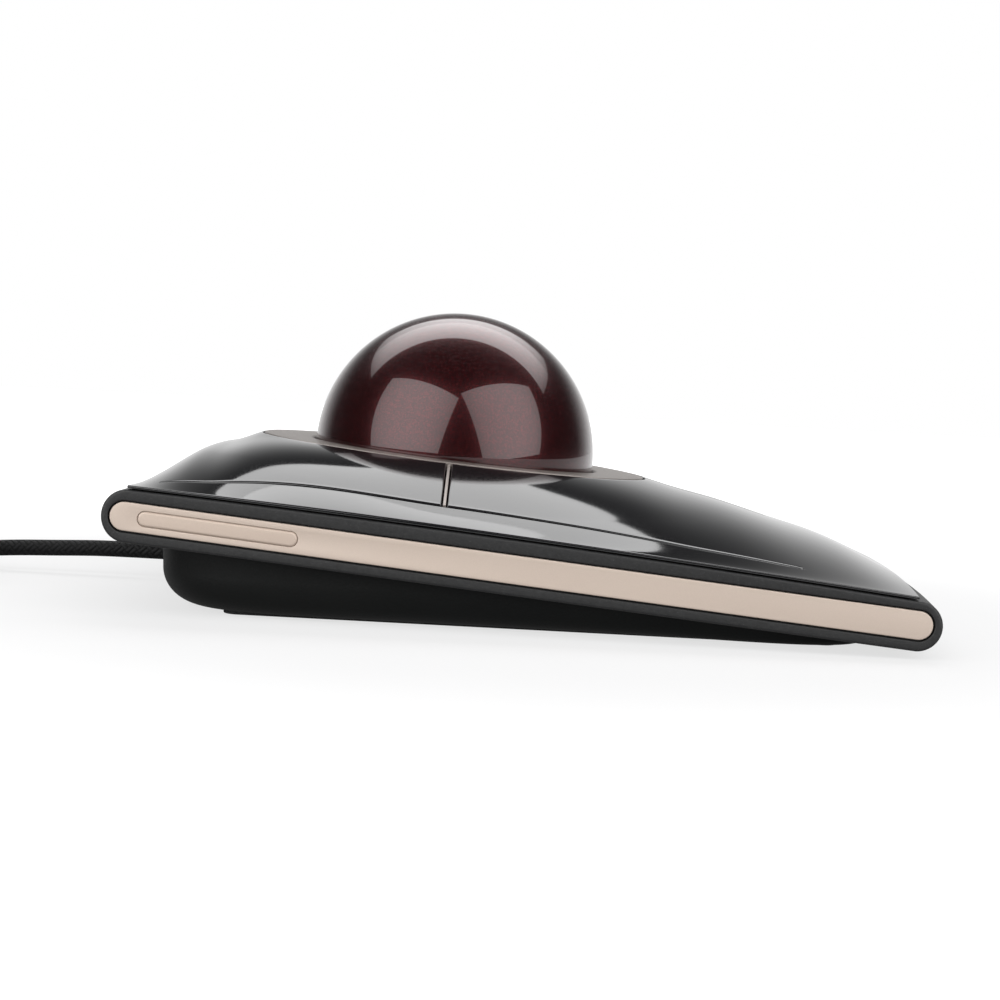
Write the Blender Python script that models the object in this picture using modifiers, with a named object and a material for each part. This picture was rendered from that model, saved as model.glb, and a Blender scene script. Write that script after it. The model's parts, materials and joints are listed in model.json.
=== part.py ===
"""A wired desktop trackball, modelled as the pieces it is assembled from.

Sizes are in millimetres, and every mesh is scaled to metres as it is made. +Z is up, +Y points to
the rear, where the cord leaves, and the user's left hand is at -X. The origin is on the table, under
the middle of the case.
"""

import math

import bmesh
import bpy
import numpy as np
from mathutils import Matrix, Vector

MM = 0.001
GAP = 0.3  # between pieces that touch

# Case: a slab that rises towards the rear, with rounded front and rear edges
HALF_WIDTH = 65.5
END = 67.0  # from the middle to the centre line of a rounded edge, at the side faces
BOW = 3.2  # how much further out that line runs at the mid-plane
EDGE_REACH = 4.3  # how far the rounded edge stands out beyond its centre line
SLOPE = 0.0848  # rise for each millimetre towards the rear
SLAB_MIDDLE = 11.58  # height of the side faces' centre line at y = 0
SLAB_BELOW = 4.45  # from that line to the underside
SLAB_ABOVE = 4.75  # from that line to the parting line with the gloss cover
FLOOR = 1.8
SIDE_WALL = 2.6
END_LIP = 1.0
COVER_EDGE = 0.45  # visible edge of the gloss cover above the parting line

# Crown of the gloss cover over the mid-plane, as (y, z)
CROWN = [
    (-67.0, 11.3),
    (-58.0, 15.2),
    (-48.0, 18.2),
    (-38.0, 21.1),
    (-28.0, 23.3),
    (-20.0, 25.3),
    (14.0, 27.9),
    (49.0, 30.5),
    (54.0, 28.6),
    (59.0, 27.2),
    (64.0, 23.6),
    (67.0, 21.0),
]
COVER_THICKNESS = 1.8
SLOT_X = 58.0  # line of the long slots beside the buttons
SLOT = 0.7
FRONT_HINGE_Y = -48.3
REAR_HINGE_Y = 62.8

# Ball and what carries it
BALL_RADIUS = 27.5
BALL_CENTRE = (0.0, 13.9, 28.12)
RING_SLOPE = 0.0718
RING_HEIGHT = 27.85  # of the ring's top face on the ball's axis
RING_OUTER = 37.7
RING_INNER = 28.1
RING_THICKNESS = 1.2
CUP_INNER = 28.3
CUP_OUTER = 29.8
CUP_FLANGE = 36.0
CUP_SKIRT_INNER = 34.4
CUP_SKIRT_DEPTH = 17.2
CASE_OPENING = 33.5
BEARING_RADIUS = 1.5
BEARING_ANGLE = 55  # from straight down, for the bearings and the sensors
SENSOR_TURNS = (0, 180)
BEARING_TURNS = (90, 210, 330)

# Base under the case
BASE_HALF_WIDTH = 61.0
BASE_FRONT = -62.0
BASE_REAR = 63.0
BASE_BOW = 3.0
BASE_BOTTOM = 0.65
BASE_FILLET = 6.5
BASE_FRONT_FILLET = 1.2
BASE_WALL = 2.0
BASE_FLOOR = 1.4
FOOT = (5.5, 108.0, 0.65)
FOOT_PLACE = (49.5, -2.0)
BASE_SCREWS = [(-46.0, 44.0), (46.0, 44.0), (-46.8, -36.0), (46.8, -36.0)]

# Buttons, switches and boards
STRIP_WIDTH = 0.56
STRIP_DEPTH = 3.3
RIB = 1.2  # ribs of the case that carry the strips; front and rear they are beams over the boards
BEAM = 2.6
RIB_FOOT = 2.4
FRONT_RIB_END = 57.0
REAR_RIB_END = 67.0
BUTTON_GAP = 0.3
BUTTON_THICKNESS = 2.0
SWITCH = (12.8, 5.8, 4.6)
FRONT_SWITCH = (30.0, -27.0)
REAR_SWITCH = (45.0, 23.0)
PLUNGER = (3.0, 1.6, 2.0)
PLUNGER_SUNK = 0.6  # how far a plunger reaches into its switch at rest
PLUNGER_WELL = 1.5
BOARD = 1.6
BOARDS = {  # x range, y range and screw places
    "main_board": ((-42.0, 42.0), (-47.0, -21.5), [(-37.0, -43.0), (37.0, -43.0)]),
    "cable_board": ((-20.0, 20.0), (51.8, 62.8), [(-14.0, 58.5)]),
    "switch_board_left": ((-54.6, -38.4), (17.0, 33.0), [(-50.0, 29.8)]),
    "switch_board_right": ((38.4, 54.6), (17.0, 33.0), [(50.0, 29.8)]),
}
BOARD_CLEARANCE = 2.4  # between the case's floor and a board

# Cord
CORD = 3.2
CORD_EXIT = (0.0, 68.0, 5.3)
CORD_ROUTE = [
    (0.0, 68.3, 5.3),
    (0.0, 76.0, 5.32),
    (0.1, 84.0, 5.25),
    (0.2, 92.0, 4.9),
    (0.5, 101.0, 4.45),
    (1.2, 109.0, 3.75),
    (2.3, 116.0, 3.05),
]
COIL_CENTRE = (-19.5, 133.0)
COIL_MIDDLE = 18.5  # radius at the middle of the turns
COIL_BUNDLE = 12.8  # width and height of the bundle of turns
COIL_LIFT = 1.0  # the tie's band runs under the coil
TIE_WIDTH = 9.0
TIE_TURN = math.radians(250)
TAIL_ROUTE = [
    (3.8, 146.2, 9.6),
    (3.5, 151.5, 8.4),
    (1.8, 157.2, 7.0),
    (-1.8, 162.0, 5.9),
    (-6.4, 165.2, 5.1),
    (-10.9, 166.4, 4.8),
]
PLUG_AXIS = (-11.3, 166.4, 4.8)  # where the cord enters the plug, which points towards -X
PLUG_BODY = (24.0, 15.6, 8.4)
PLUG_NECK = 11.0
PLUG_SHELL = (18.6, 12.0, 4.5)

FINISHES = {
    "textured_charcoal": ((0.07, 0.07, 0.075), 0.55, 0.0),
    "matte_black": ((0.02, 0.02, 0.02), 0.6, 0.0),
    "gloss_black": ((0.012, 0.012, 0.012), 0.08, 0.0),
    "beige": ((0.61, 0.51, 0.45), 0.35, 0.0),
    "burgundy": ((0.06, 0.006, 0.01), 0.08, 0.0),
    "satin_metal": ((0.35, 0.31, 0.28), 0.35, 1.0),
    "champagne": ((0.5, 0.45, 0.39), 0.35, 1.0),
    "steel": ((0.6, 0.6, 0.6), 0.3, 1.0),
    "board_green": ((0.01, 0.12, 0.05), 0.4, 0.0),
    "lens": ((0.5, 0.1, 0.1), 0.1, 0.0),
    "rubber": ((0.012, 0.012, 0.012), 0.8, 0.0),
    "braid": ((0.01, 0.011, 0.011), 0.8, 0.0),
    "white_plastic": ((0.75, 0.75, 0.72), 0.4, 0.0),
}


# Heights of the case's surfaces


def through(points, at):
    """A smooth curve through points: cubic pieces whose slopes come from the neighbouring points."""
    xs, ys = np.array(points, float).T
    slopes = np.gradient(ys, xs)
    i = np.clip(np.searchsorted(xs, at) - 1, 0, len(xs) - 2)
    width = xs[i + 1] - xs[i]
    q = (at - xs[i]) / width
    start = (1 + 2 * q) * (1 - q) ** 2 * ys[i] + q * (1 - q) ** 2 * width * slopes[i]
    stop = q**2 * (3 - 2 * q) * ys[i + 1] - q**2 * (1 - q) * width * slopes[i + 1]
    return start + stop


def smoothstep(low, high, at):
    q = np.clip((at - low) / (high - low), 0, 1)
    return q * q * (3 - 2 * q)


def bow(x):
    return BOW * (1 - (np.asarray(x) / HALF_WIDTH) ** 2)


def slab_middle(y):
    return SLAB_MIDDLE + SLOPE * y


def underside(y):
    return slab_middle(y) - SLAB_BELOW


def case_floor(y):
    return underside(y) + FLOOR


def side_parting(y):
    """The parting line between case and gloss cover along a side face."""
    return slab_middle(y) + SLAB_ABOVE + 0.45 * (1 - ((y - 12) / 55) ** 2)


def ring_plane(y):
    return RING_HEIGHT + RING_SLOPE * (y - BALL_CENTRE[1])


def arch_height(x, y):
    """An arch across the case, whose height and fullness change along it."""
    across = np.clip(np.abs(x) / HALF_WIDTH, 0, 1)
    along = y * END / (END + bow(x))
    edge = side_parting(along) + COVER_EDGE + GAP / 2
    power = 2.3 + 0.4 * np.exp(-(((along - 14) / 30) ** 2))
    slot_share = 0.18 + 0.12 * np.exp(-(((along - 21.5) / 37) ** 2))
    slot_across = SLOT_X / HALF_WIDTH
    fall = np.log(slot_share) / np.log(1 - slot_across**power)
    return edge + (through(CROWN, along) - edge) * np.maximum(1 - across**power, 0) ** fall


def crown(x, y):
    """Top of the gloss cover: the arch, lifted to meet the ring's outer edge."""
    x, y = np.asarray(x, float), np.asarray(y, float)
    off = y - BALL_CENTRE[1]
    away = np.maximum(np.hypot(x, off), 1)
    ring_x, ring_off = x / away * RING_OUTER, off / away * RING_OUTER
    ring_y = BALL_CENTRE[1] + ring_off
    lift = ring_plane(ring_y) - arch_height(ring_x, ring_y)
    fade_end = 60 - 10 * np.maximum(off / away, 0) ** 2
    fade = 1 - np.clip((away - RING_OUTER) / (fade_end - RING_OUTER), 0, 1)
    return arch_height(x, y) + lift * fade**1.5


def rim(x, y):
    """The parting line all round: lower than the side's where the crown comes down at the ends."""
    end = np.sign(y) * END
    dip = crown(x, np.sign(y) * (END + bow(x))) - side_parting(end) - COVER_EDGE - GAP / 2
    return side_parting(y) + dip * smoothstep(50, END, np.abs(y))


# Meshes


def collection(name):
    made = bpy.data.collections.new(name)
    bpy.context.scene.collection.children.link(made)
    return made


def material(name):
    if name in bpy.data.materials:
        return bpy.data.materials[name]
    colour, roughness, metallic = FINISHES[name]
    made = bpy.data.materials.new(name)
    made.use_nodes = True
    shader = made.node_tree.nodes["Principled BSDF"]
    shader.inputs["Base Color"].default_value = (*colour, 1)
    shader.inputs["Roughness"].default_value = roughness
    shader.inputs["Metallic"].default_value = metallic
    return made


def finished(name, bm, finish=None, origin=(0, 0, 0)):
    """The object of a bmesh in millimetres: a part with a finish, or a cutter without one."""
    bmesh.ops.recalc_face_normals(bm, faces=bm.faces)
    bm.transform(Matrix.Scale(MM, 4) @ Matrix.Translation(-Vector(origin)))
    mesh = bpy.data.meshes.new(name)
    bm.to_mesh(mesh)
    bm.free()
    made = bpy.data.objects.new(name, mesh)
    made.location = Vector(origin) * MM
    if finish:
        mesh.materials.append(material(finish))
        mesh.shade_smooth()
        mesh.set_sharp_from_angle(angle=math.radians(30))
        PARTS.objects.link(made)
    else:
        made.hide_render = True
        made.display_type = "WIRE"
        CUTTERS.objects.link(made)
    return made


def combine(target, tool, operation="DIFFERENCE"):
    modifier = target.modifiers.new(tool.name, "BOOLEAN")
    modifier.object = tool
    modifier.operation = operation


def loft(sections, closed=False):
    """A bmesh through closed sections with the same number of points, capped unless it closes."""
    bm = bmesh.new()
    rings = [[bm.verts.new(p) for p in section] for section in sections]
    count = len(rings[0])
    for i in range(len(rings) - (0 if closed else 1)):
        a, b = rings[i], rings[(i + 1) % len(rings)]
        for j in range(count):
            k = (j + 1) % count
            bm.faces.new((a[j], a[k], b[k], b[j]))
    if not closed:
        bm.faces.new(rings[0])
        bm.faces.new(rings[-1])
    return bm


def merged(parts):
    """One bmesh of several, which stay separate bodies."""
    whole = bmesh.new()
    for bm in parts:
        mesh = bpy.data.meshes.new("merged")
        bm.to_mesh(mesh)
        bm.free()
        whole.from_mesh(mesh)
        bpy.data.meshes.remove(mesh)
    return whole


def box(size, centre, turn=None):
    bm = bmesh.new()
    place = Matrix.Translation(centre) @ (turn or Matrix()) @ Matrix.Diagonal((*size, 1))
    bmesh.ops.create_cube(bm, size=1, matrix=place)
    return bm


def cylinder(radius, start, stop, segments=16, stop_radius=None):
    """A cylinder or cone from one point to another."""
    start, stop = Vector(start), Vector(stop)
    along = stop - start
    turn = along.to_track_quat("Z", "Y").to_matrix().to_4x4()
    bm = bmesh.new()
    bmesh.ops.create_cone(
        bm,
        cap_ends=True,
        segments=segments,
        radius1=radius,
        radius2=radius if stop_radius is None else stop_radius,
        depth=along.length,
        matrix=Matrix.Translation((start + stop) / 2) @ turn,
    )
    return bm


def upright(radius, place, low, high, segments=16):
    return cylinder(radius, (*place, low), (*place, high), segments)


def turned(name, profile, finish, centre, tilt, steps):
    """A closed profile of (radius, height), running down its outer side, turned about a tilted axis."""
    mesh = bpy.data.meshes.new(name)
    points = [(r * MM, 0, z * MM) for r, z in profile]
    edges = [(i, (i + 1) % len(points)) for i in range(len(points))]
    mesh.from_pydata(points, edges, [])
    mesh.materials.append(material(finish))
    made = bpy.data.objects.new(name, mesh)
    made.location = Vector(centre) * MM
    made.rotation_euler.x = tilt
    PARTS.objects.link(made)
    screw = made.modifiers.new("turn", "SCREW")
    screw.steps = screw.render_steps = steps
    screw.use_merge_vertices = True
    screw.merge_threshold = 0.000001
    screw.use_smooth_shade = True
    return made


def tube(name, route, diameter, finish, resolution=2):
    """A tube along a POLY spline through the route's points."""
    curve = bpy.data.curves.new(name, "CURVE")
    curve.dimensions = "3D"
    curve.bevel_depth = diameter / 2 * MM
    curve.bevel_resolution = resolution
    curve.use_fill_caps = True
    spline = curve.splines.new("POLY")
    spline.points.add(len(route) - 1)
    for point, place in zip(spline.points, route):
        point.co = (*(Vector(place) * MM), 1)
    curve.materials.append(material(finish))
    made = bpy.data.objects.new(name, curve)
    PARTS.objects.link(made)
    return made


def smooth_route(route, step):
    """Points about step apart on a smooth curve through the route's points."""
    route = np.array(route, float)
    along = np.concatenate([[0], np.cumsum(np.linalg.norm(np.diff(route, axis=0), axis=1))])
    at = np.linspace(0, along[-1], max(2, round(along[-1] / step) + 1))
    return np.stack([through(list(zip(along, route[:, k])), at) for k in range(3)], axis=1)


# Case and base


def slab_section(x, front, rear, low, high, reach, arc=7, run=9):
    """Outline of the slab in the plane at x, with rounded front and rear ends."""
    angles = np.linspace(-math.pi / 2, math.pi / 2, arc)
    ys = np.linspace(front, rear, run)
    bottom = [(x, y, low(y)) for y in ys[1:-1]]
    top = [(x, y, high(y)) for y in ys[-2:0:-1]]
    ends = []
    for y, side in ((rear, 1), (front, -1)):
        middle, half = (low(y) + high(y)) / 2, (high(y) - low(y)) / 2
        ends.append([(x, y + side * reach * math.cos(a), middle + side * half * math.sin(a)) for a in angles])
    return bottom + ends[0] + top + ends[1]


def case_section(x):
    end = END + float(bow(x))
    return slab_section(
        x, -end, end, underside, lambda y: float(rim(x, y)) - GAP / 2, EDGE_REACH, run=13
    )


def hollow_section(x):
    """The space inside the case, open at the top."""
    end = END + float(bow(x)) - END_LIP
    return slab_section(x, -end, end, case_floor, lambda y: slab_middle(y) + 20, 0.02, arc=3)


def side_capsule(side, reach, half, depth, front=-67.2, rear=67.4, arc=9):
    """A capsule along a side face's centre line, from one depth below the face to another."""
    return loft(
        [
            slab_section(
                side * (HALF_WIDTH - below),
                front,
                rear,
                lambda y: slab_middle(y) - half + shrink,
                lambda y: slab_middle(y) + half - shrink,
                reach - shrink,
                arc,
                3,
            )
            for below, shrink in depth
        ]
    )


def make_case():
    across = HALF_WIDTH * np.sin(np.linspace(-math.pi / 2, math.pi / 2, 13))
    case = finished("bottom_housing", loft([case_section(x) for x in across]), "textured_charcoal")
    inner = (HALF_WIDTH - SIDE_WALL) * np.linspace(-1, 1, 9)
    combine(case, finished("case_hollow", loft([hollow_section(x) for x in inner])))
    supports = []
    for x, y in BASE_SCREWS:
        supports.append(upright(3.2, (x, y), underside(y) + 0.8, case_floor(y) + 5))
    board_screws = [place for _, _, places in BOARDS.values() for place in places]
    for x, y in board_screws:
        supports.append(upright(2.4, (x, y), underside(y) + 0.8, board_low(y) - GAP - 0.2))
    under_strip = STRIP_DEPTH + GAP
    for name, (start, stop) in strip_lines().items():
        if name in ("left", "right"):
            supports.append(divider((start, stop), RIB, under_strip, None))
            continue
        end = (0, -FRONT_RIB_END if name == "front" else REAR_RIB_END)
        supports.append(divider((start, end), RIB, under_strip, under_strip + BEAM, RIB_FOOT))
    combine(case, finished("case_supports", merged(supports)), "UNION")
    holes = [upright(CASE_OPENING, BALL_CENTRE[:2], 0, 22, 48)]
    for x, y in BASE_SCREWS:
        holes.append(upright(1.5, (x, y), -1, 30, 12))
    for x, y in board_screws:
        holes.append(upright(1.1, (x, y), case_floor(y) - 0.6, 30, 12))
    for side in (-1, 1):
        holes.append(side_capsule(side, 2.75, 2.75, [(1.3, 0), (-1, 0)]))
    combine(case, finished("case_holes", merged(holes)))
    return case


def base_outline(inset, z):
    """Rounded outline of the base in plan, with bowed front and rear sides."""
    half_x = BASE_HALF_WIDTH - inset
    half_y = (BASE_REAR - BASE_FRONT) / 2 - inset
    middle = (BASE_REAR + BASE_FRONT) / 2
    turn = np.linspace(0, 2 * math.pi, 48, endpoint=False) + math.pi / 48
    square = 0.25
    x = half_x * np.sign(np.cos(turn)) * np.abs(np.cos(turn)) ** square
    unit_y = np.sign(np.sin(turn)) * np.abs(np.sin(turn)) ** square
    y = middle + half_y * unit_y + BASE_BOW * unit_y * (1 - (x / half_x) ** 2)
    return [(a, b, z) for a, b in zip(x, y)]


def base_solid(inset, bottom, fillet, top):
    """The base's block, whose lower fillet grows from the low front to the tall rear."""
    low = min(fillet, BASE_FRONT_FILLET)
    loops = []
    for angle in np.linspace(0, math.pi / 2, 5):
        across, up = 1 - math.sin(angle), 1 - math.cos(angle)
        full = np.array(base_outline(inset + fillet * across, bottom + fillet * up), float)
        small = np.array(base_outline(inset + low * across, bottom + low * up), float)
        share = np.clip((small[:, 1:2] - BASE_FRONT) / 50, 0, 1)
        loops.append(small + (full - small) * share**2 * (3 - 2 * share))
    loops.append(base_outline(inset - 0.6, top))
    return loft(loops)


def make_base():
    base = finished("base_pedestal", base_solid(0, BASE_BOTTOM, BASE_FILLET, 20), "matte_black")
    space = base_solid(BASE_WALL, BASE_BOTTOM + BASE_FLOOR, BASE_FILLET - 1.5, 24)
    combine(base, finished("base_space", space))
    bosses = [upright(4, place, BASE_BOTTOM + 0.3, 18, 20) for place in BASE_SCREWS]
    combine(base, finished("base_bosses", merged(bosses)), "UNION")
    tilt = Matrix.Rotation(math.atan(SLOPE), 4, "X")
    above = box((160, 200, 40), (0, 0, underside(0) - GAP + 20.07), tilt)
    combine(base, finished("above_base", above))
    holes = [upright(15.4, BALL_CENTRE[:2], -1, 6, 40)]
    for x, y in BASE_SCREWS:
        holes.append(upright(1.5, (x, y), 2.1, 30, 12))
    holes.append(cylinder(2.9, (0, 55, CORD_EXIT[2]), (0, 75, CORD_EXIT[2]), 20))
    combine(base, finished("base_holes", merged(holes)))
    heads = merged([upright(2.7, place, -1, 2.3, 16) for place in BASE_SCREWS])
    combine(base, finished("screw_recesses", heads))
    for side, name in ((-1, "foot_left"), (1, "foot_right")):
        foot = box(FOOT, (side * FOOT_PLACE[0], FOOT_PLACE[1], FOOT[2] / 2))
        made = finished(name, foot, "rubber")
        bevel = made.modifiers.new("soft_edge", "BEVEL")
        bevel.width = 0.12 * MM
        bevel.segments = 1
    for number, (x, y) in enumerate(BASE_SCREWS, 1):
        head = upright(2.3, (x, y), 0.95, 2.0, 16)
        shank = upright(1.1, (x, y), 1.5, case_floor(y) + 4, 12)
        screw = finished(f"base_screw_{number}", head, "steel")
        combine(screw, finished(f"base_screw_shank_{number}", shank), "UNION")
    return base


def make_side_inserts():
    for side, name in ((-1, "left"), (1, "right")):
        insert = side_capsule(side, 2.45, 2.45, [(1.15, 0), (0.3, 0), (0.1, 0.2)])
        made = finished(f"side_insert_{name}", insert, "beige")
        recess = plate(side, -38.0, -65.2, 1.5, 0.6, -1)
        combine(made, finished(f"insert_recess_{name}", recess))
        bar = plate(side, -38.4, -64.8, 1.1, 0.3, -0.05)
        finished(f"nameplate_{name}", bar, "beige")


def plate(side, first, last, half, deep, proud):
    """A blank bar along a side face's centre line near the rear, between two distances from the front."""
    return loft(
        [
            slab_section(
                side * (HALF_WIDTH - below),
                -first + half,
                -last - half,
                lambda y: slab_middle(y) - half,
                lambda y: slab_middle(y) + half,
                half,
                5,
                3,
            )
            for below in (deep, proud)
        ]
    )


# Gloss cover and buttons


def cover_corner(out, along):
    """A point between the slot line (out 0), the locating lip (out 1) and the outer edge (out 2)."""
    side, q = divmod(along, 1.0)
    inner_x = SLOT_X + SLOT / 2
    x_steps = [inner_x, HALF_WIDTH - SIDE_WALL - GAP, HALF_WIDTH]
    x_half = float(np.interp(out, [0, 1, 2], x_steps))

    def y_end(x, sign):
        inner = REAR_HINGE_Y + 0.2 if sign > 0 else FRONT_HINGE_Y - 0.2
        edge = END + float(bow(x))
        return float(np.interp(out, [0, 1, 2], [inner, sign * (edge - END_LIP - GAP), sign * edge]))

    if side in (0, 2):
        sign = 1 if side == 0 else -1
        x = sign * x_half
        front, rear = y_end(x, -1), y_end(x, 1)
        y = front + (rear - front) * (q if side == 0 else 1 - q)
        return x, y
    sign = 1 if side == 1 else -1
    x = x_half * (1 - 2 * q) * sign
    return x, y_end(x, sign)


def make_top_cover():
    """The outer band of the crown, once round, with the strips that the buttons spring from."""
    sections = []
    for side in range(4):
        for q in np.linspace(0, 1, 16 if side % 2 == 0 else 12, endpoint=False):
            top, low = [], []
            for out in (0, 0.5, 1, 1.5, 2):
                x, y = cover_corner(out, side + q)
                top.append((x, y, float(crown(x, y))))
            for out in (2, 1):
                x, y = cover_corner(out, side + q)
                low.append((x, y, float(crown(x, y) - COVER_EDGE) if out == 2 else resting(x, y)))
            for out in (1, 0.5, 0):
                x, y = cover_corner(out, side + q)
                low.append((x, y, float(crown(x, y)) - COVER_THICKNESS - 0.6 * out))
            sections.append(top + low)
    return finished("top_cover", loft(sections, closed=True), "gloss_black")


def resting(x, y):
    """Underside of the cover where it rests over the case's rim, measured at the locating lip."""
    if abs(x) > SLOT_X + 2 and abs(y) < END - 1:
        return float(rim(math.copysign(HALF_WIDTH, x), y)) + GAP / 2
    return float(rim(x, math.copysign(END + float(bow(x)), y))) + GAP / 2


def strip_lines():
    """Start and end of each separator strip, from the ring outwards."""
    x, y = BALL_CENTRE[:2]
    start, stop = RING_OUTER + 0.8, SLOT_X - 0.5
    return {
        "left": ((x - start, y), (-stop, y)),
        "right": ((x + start, y), (stop, y)),
        "front": ((x, y - start), (x, FRONT_HINGE_Y + 0.5)),
        "rear": ((x, y + start), (x, REAR_HINGE_Y - 0.5)),
    }


def divider(line, width, top, bottom, foot=None):
    """A wall along a strip line between two depths below the crown. From its foot outwards, or all along
    where no bottom is given, it stands on the case's floor."""
    (x0, y0), (x1, y1) = line
    along_x = abs(x1 - x0) > abs(y1 - y0)
    long = abs(x1 - x0) + abs(y1 - y0)
    last = long if foot is None else long - foot
    stations = [(q * last, bottom is None) for q in np.linspace(0, 1, 9)]
    if foot is not None:
        stations += [(last + 0.05, True), (long, True)]
    sections = []
    for out, stands in stations:
        x, y = x0 + (x1 - x0) * out / long, y0 + (y1 - y0) * out / long
        high = float(crown(x, y)) - top
        low = case_floor(y) - 1 if stands else float(crown(x, y)) - bottom
        dx, dy = (0, width / 2) if along_x else (width / 2, 0)
        sections.append([(x - dx, y - dy, low), (x + dx, y + dy, low), (x + dx, y + dy, high), (x - dx, y - dy, high)])
    return loft(sections)


def button_point(out, along, x_side, y_side):
    """A point of a button between the ring (out 0) and its outer sides (out 1)."""
    line = STRIP_WIDTH / 2 + BUTTON_GAP
    centre_y = BALL_CENTRE[1]
    ring = RING_OUTER + BUTTON_GAP
    first = math.asin(line / ring)
    angle = first + (math.pi / 2 - 2 * first) * along
    inner = (ring * math.cos(angle), ring * math.sin(angle))
    hinge = REAR_HINGE_Y - 0.2 - centre_y if y_side > 0 else centre_y - FRONT_HINGE_Y - 0.2
    x_out = SLOT_X - SLOT / 2
    corner = 0.55 if y_side < 0 else 0.5
    if along <= corner:
        outer = (x_out, line + (hinge - line) * along / corner)
    else:
        outer = (line + (x_out - line) * (1 - along) / (1 - corner), hinge)
    x = inner[0] + (outer[0] - inner[0]) * out
    y = inner[1] + (outer[1] - inner[1]) * out
    return x * x_side, centre_y + y * y_side


def make_buttons():
    for y_side, row in ((-1, "front"), (1, "rear")):
        corner = 0.55 if y_side < 0 else 0.5
        stations = np.concatenate([np.linspace(0, corner, 9), np.linspace(corner, 1, 8)[1:]])
        for x_side, hand in ((-1, "left"), (1, "right")):
            sections = []
            for along in stations:
                row_points = [button_point(out, along, x_side, y_side) for out in np.linspace(0, 1, 8)]
                top = [(x, y, float(crown(x, y))) for x, y in row_points]
                low = [(x, y, z - BUTTON_THICKNESS) for x, y, z in reversed(top)]
                sections.append(top + low)
            hinge = REAR_HINGE_Y if y_side > 0 else FRONT_HINGE_Y
            origin = (0, hinge, float(crown(30, hinge)) - 1)
            name = f"button_{row}_{hand}"
            button = finished(name, loft(sections), "gloss_black", origin)
            x, y = FRONT_SWITCH if y_side < 0 else REAR_SWITCH
            x *= x_side
            low = plunger_top(row) + GAP
            post = upright(1.6, (x, y), low, float(crown(x, y)) - 1.0, 12)
            combine(button, finished(f"post_{row}_{hand}", post), "UNION")


def make_strips():
    for name, line in strip_lines().items():
        finished(f"separator_{name}", divider(line, STRIP_WIDTH, 0.05, STRIP_DEPTH), "champagne")


# Ball, cup and ring


def radial(turn, distance):
    """A point at a distance from the ball's centre, in the direction of a bearing or sensor."""
    down, round_z = math.radians(BEARING_ANGLE), math.radians(turn)
    flat = math.sin(down)
    way = Vector((flat * math.cos(round_z), flat * math.sin(round_z), -math.cos(down)))
    return Vector(BALL_CENTRE) + way * distance


def make_ball_and_cup():
    tilt = math.atan(RING_SLOPE)
    ball = bmesh.new()
    bmesh.ops.create_uvsphere(ball, u_segments=32, v_segments=16, radius=BALL_RADIUS)
    ball.transform(Matrix.Translation(BALL_CENTRE))
    finished("ball", ball, "burgundy", BALL_CENTRE)

    ring_top = RING_HEIGHT - BALL_CENTRE[2]
    half = (RING_OUTER - RING_INNER) / 2
    ring = [
        (RING_INNER, ring_top - 0.25),
        (RING_INNER + 0.35, ring_top),
        (RING_INNER + 2 * half - 0.2, ring_top),
        (RING_OUTER, ring_top - 0.2),
        (RING_OUTER, ring_top - RING_THICKNESS),
        (RING_INNER, ring_top - RING_THICKNESS),
    ]
    turned("ring_bezel", ring, "satin_metal", BALL_CENTRE, tilt, 56)

    flange = ring_top - RING_THICKNESS - GAP
    inner_top = math.sqrt(CUP_INNER**2 - flange**2)
    under_flange = flange - 1.5
    angles = np.radians(np.linspace(10, math.degrees(math.acos(-under_flange / CUP_OUTER)), 10))
    outer = [(CUP_OUTER * math.sin(a), -CUP_OUTER * math.cos(a)) for a in angles]
    angles = np.radians(np.linspace(10, math.degrees(math.acos(-flange / CUP_INNER)), 10))
    inner = [(CUP_INNER * math.sin(a), -CUP_INNER * math.cos(a)) for a in angles[:-1]]
    profile = inner + [(inner_top, flange), (CUP_FLANGE, flange), (CUP_FLANGE, -CUP_SKIRT_DEPTH)]
    profile += [(CUP_SKIRT_INNER, -CUP_SKIRT_DEPTH), (CUP_SKIRT_INNER, under_flange)]
    profile += outer[::-1]
    cup = turned("ball_cup", profile, "matte_black", BALL_CENTRE, tilt, 32)
    bosses = [cylinder(3.2, radial(t, CUP_OUTER - 0.6), radial(t, 33), 16) for t in BEARING_TURNS]
    combine(cup, finished("bearing_bosses", merged(bosses)), "UNION")
    pockets = [cylinder(1.85, radial(t, 26), radial(t, 31.2), 16) for t in BEARING_TURNS]
    pockets += [cylinder(4.2, radial(t, 26), radial(t, 32), 20) for t in SENSOR_TURNS]
    combine(cup, finished("cup_pockets", merged(pockets)))
    below = box((90, 90, 10), (0, BALL_CENTRE[1], BASE_BOTTOM - 5))
    combine(cup, finished("below_cup", below))

    for number, turn in enumerate(BEARING_TURNS, 1):
        bearing = bmesh.new()
        bmesh.ops.create_uvsphere(bearing, u_segments=12, v_segments=8, radius=BEARING_RADIUS)
        bearing.transform(Matrix.Translation(radial(turn, BALL_RADIUS + GAP + BEARING_RADIUS)))
        finished(f"bearing_ball_{number}", bearing, "steel")
    for turn, hand in zip(SENSOR_TURNS, ("right", "left")):
        window = cylinder(3.8, radial(turn, 28.6), radial(turn, 29.7), 20)
        finished(f"sensor_window_{hand}", window, "lens")
        facing = (radial(turn, 32) - radial(turn, 31)).to_track_quat("Z", "Y").to_matrix().to_4x4()
        module = box((8, 9, 3.4), radial(turn, 32.2), facing)
        finished(f"sensor_module_{hand}", module, "matte_black")


# Boards and switches


def board_turn():
    return Matrix.Rotation(math.atan(SLOPE), 4, "X")


def board_low(y):
    return case_floor(y) + BOARD_CLEARANCE


def plunger_top(row):
    y = FRONT_SWITCH[1] if row == "front" else REAR_SWITCH[1]
    return board_low(y) + BOARD + GAP + SWITCH[2] - PLUNGER_SUNK + PLUNGER[2]


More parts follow.
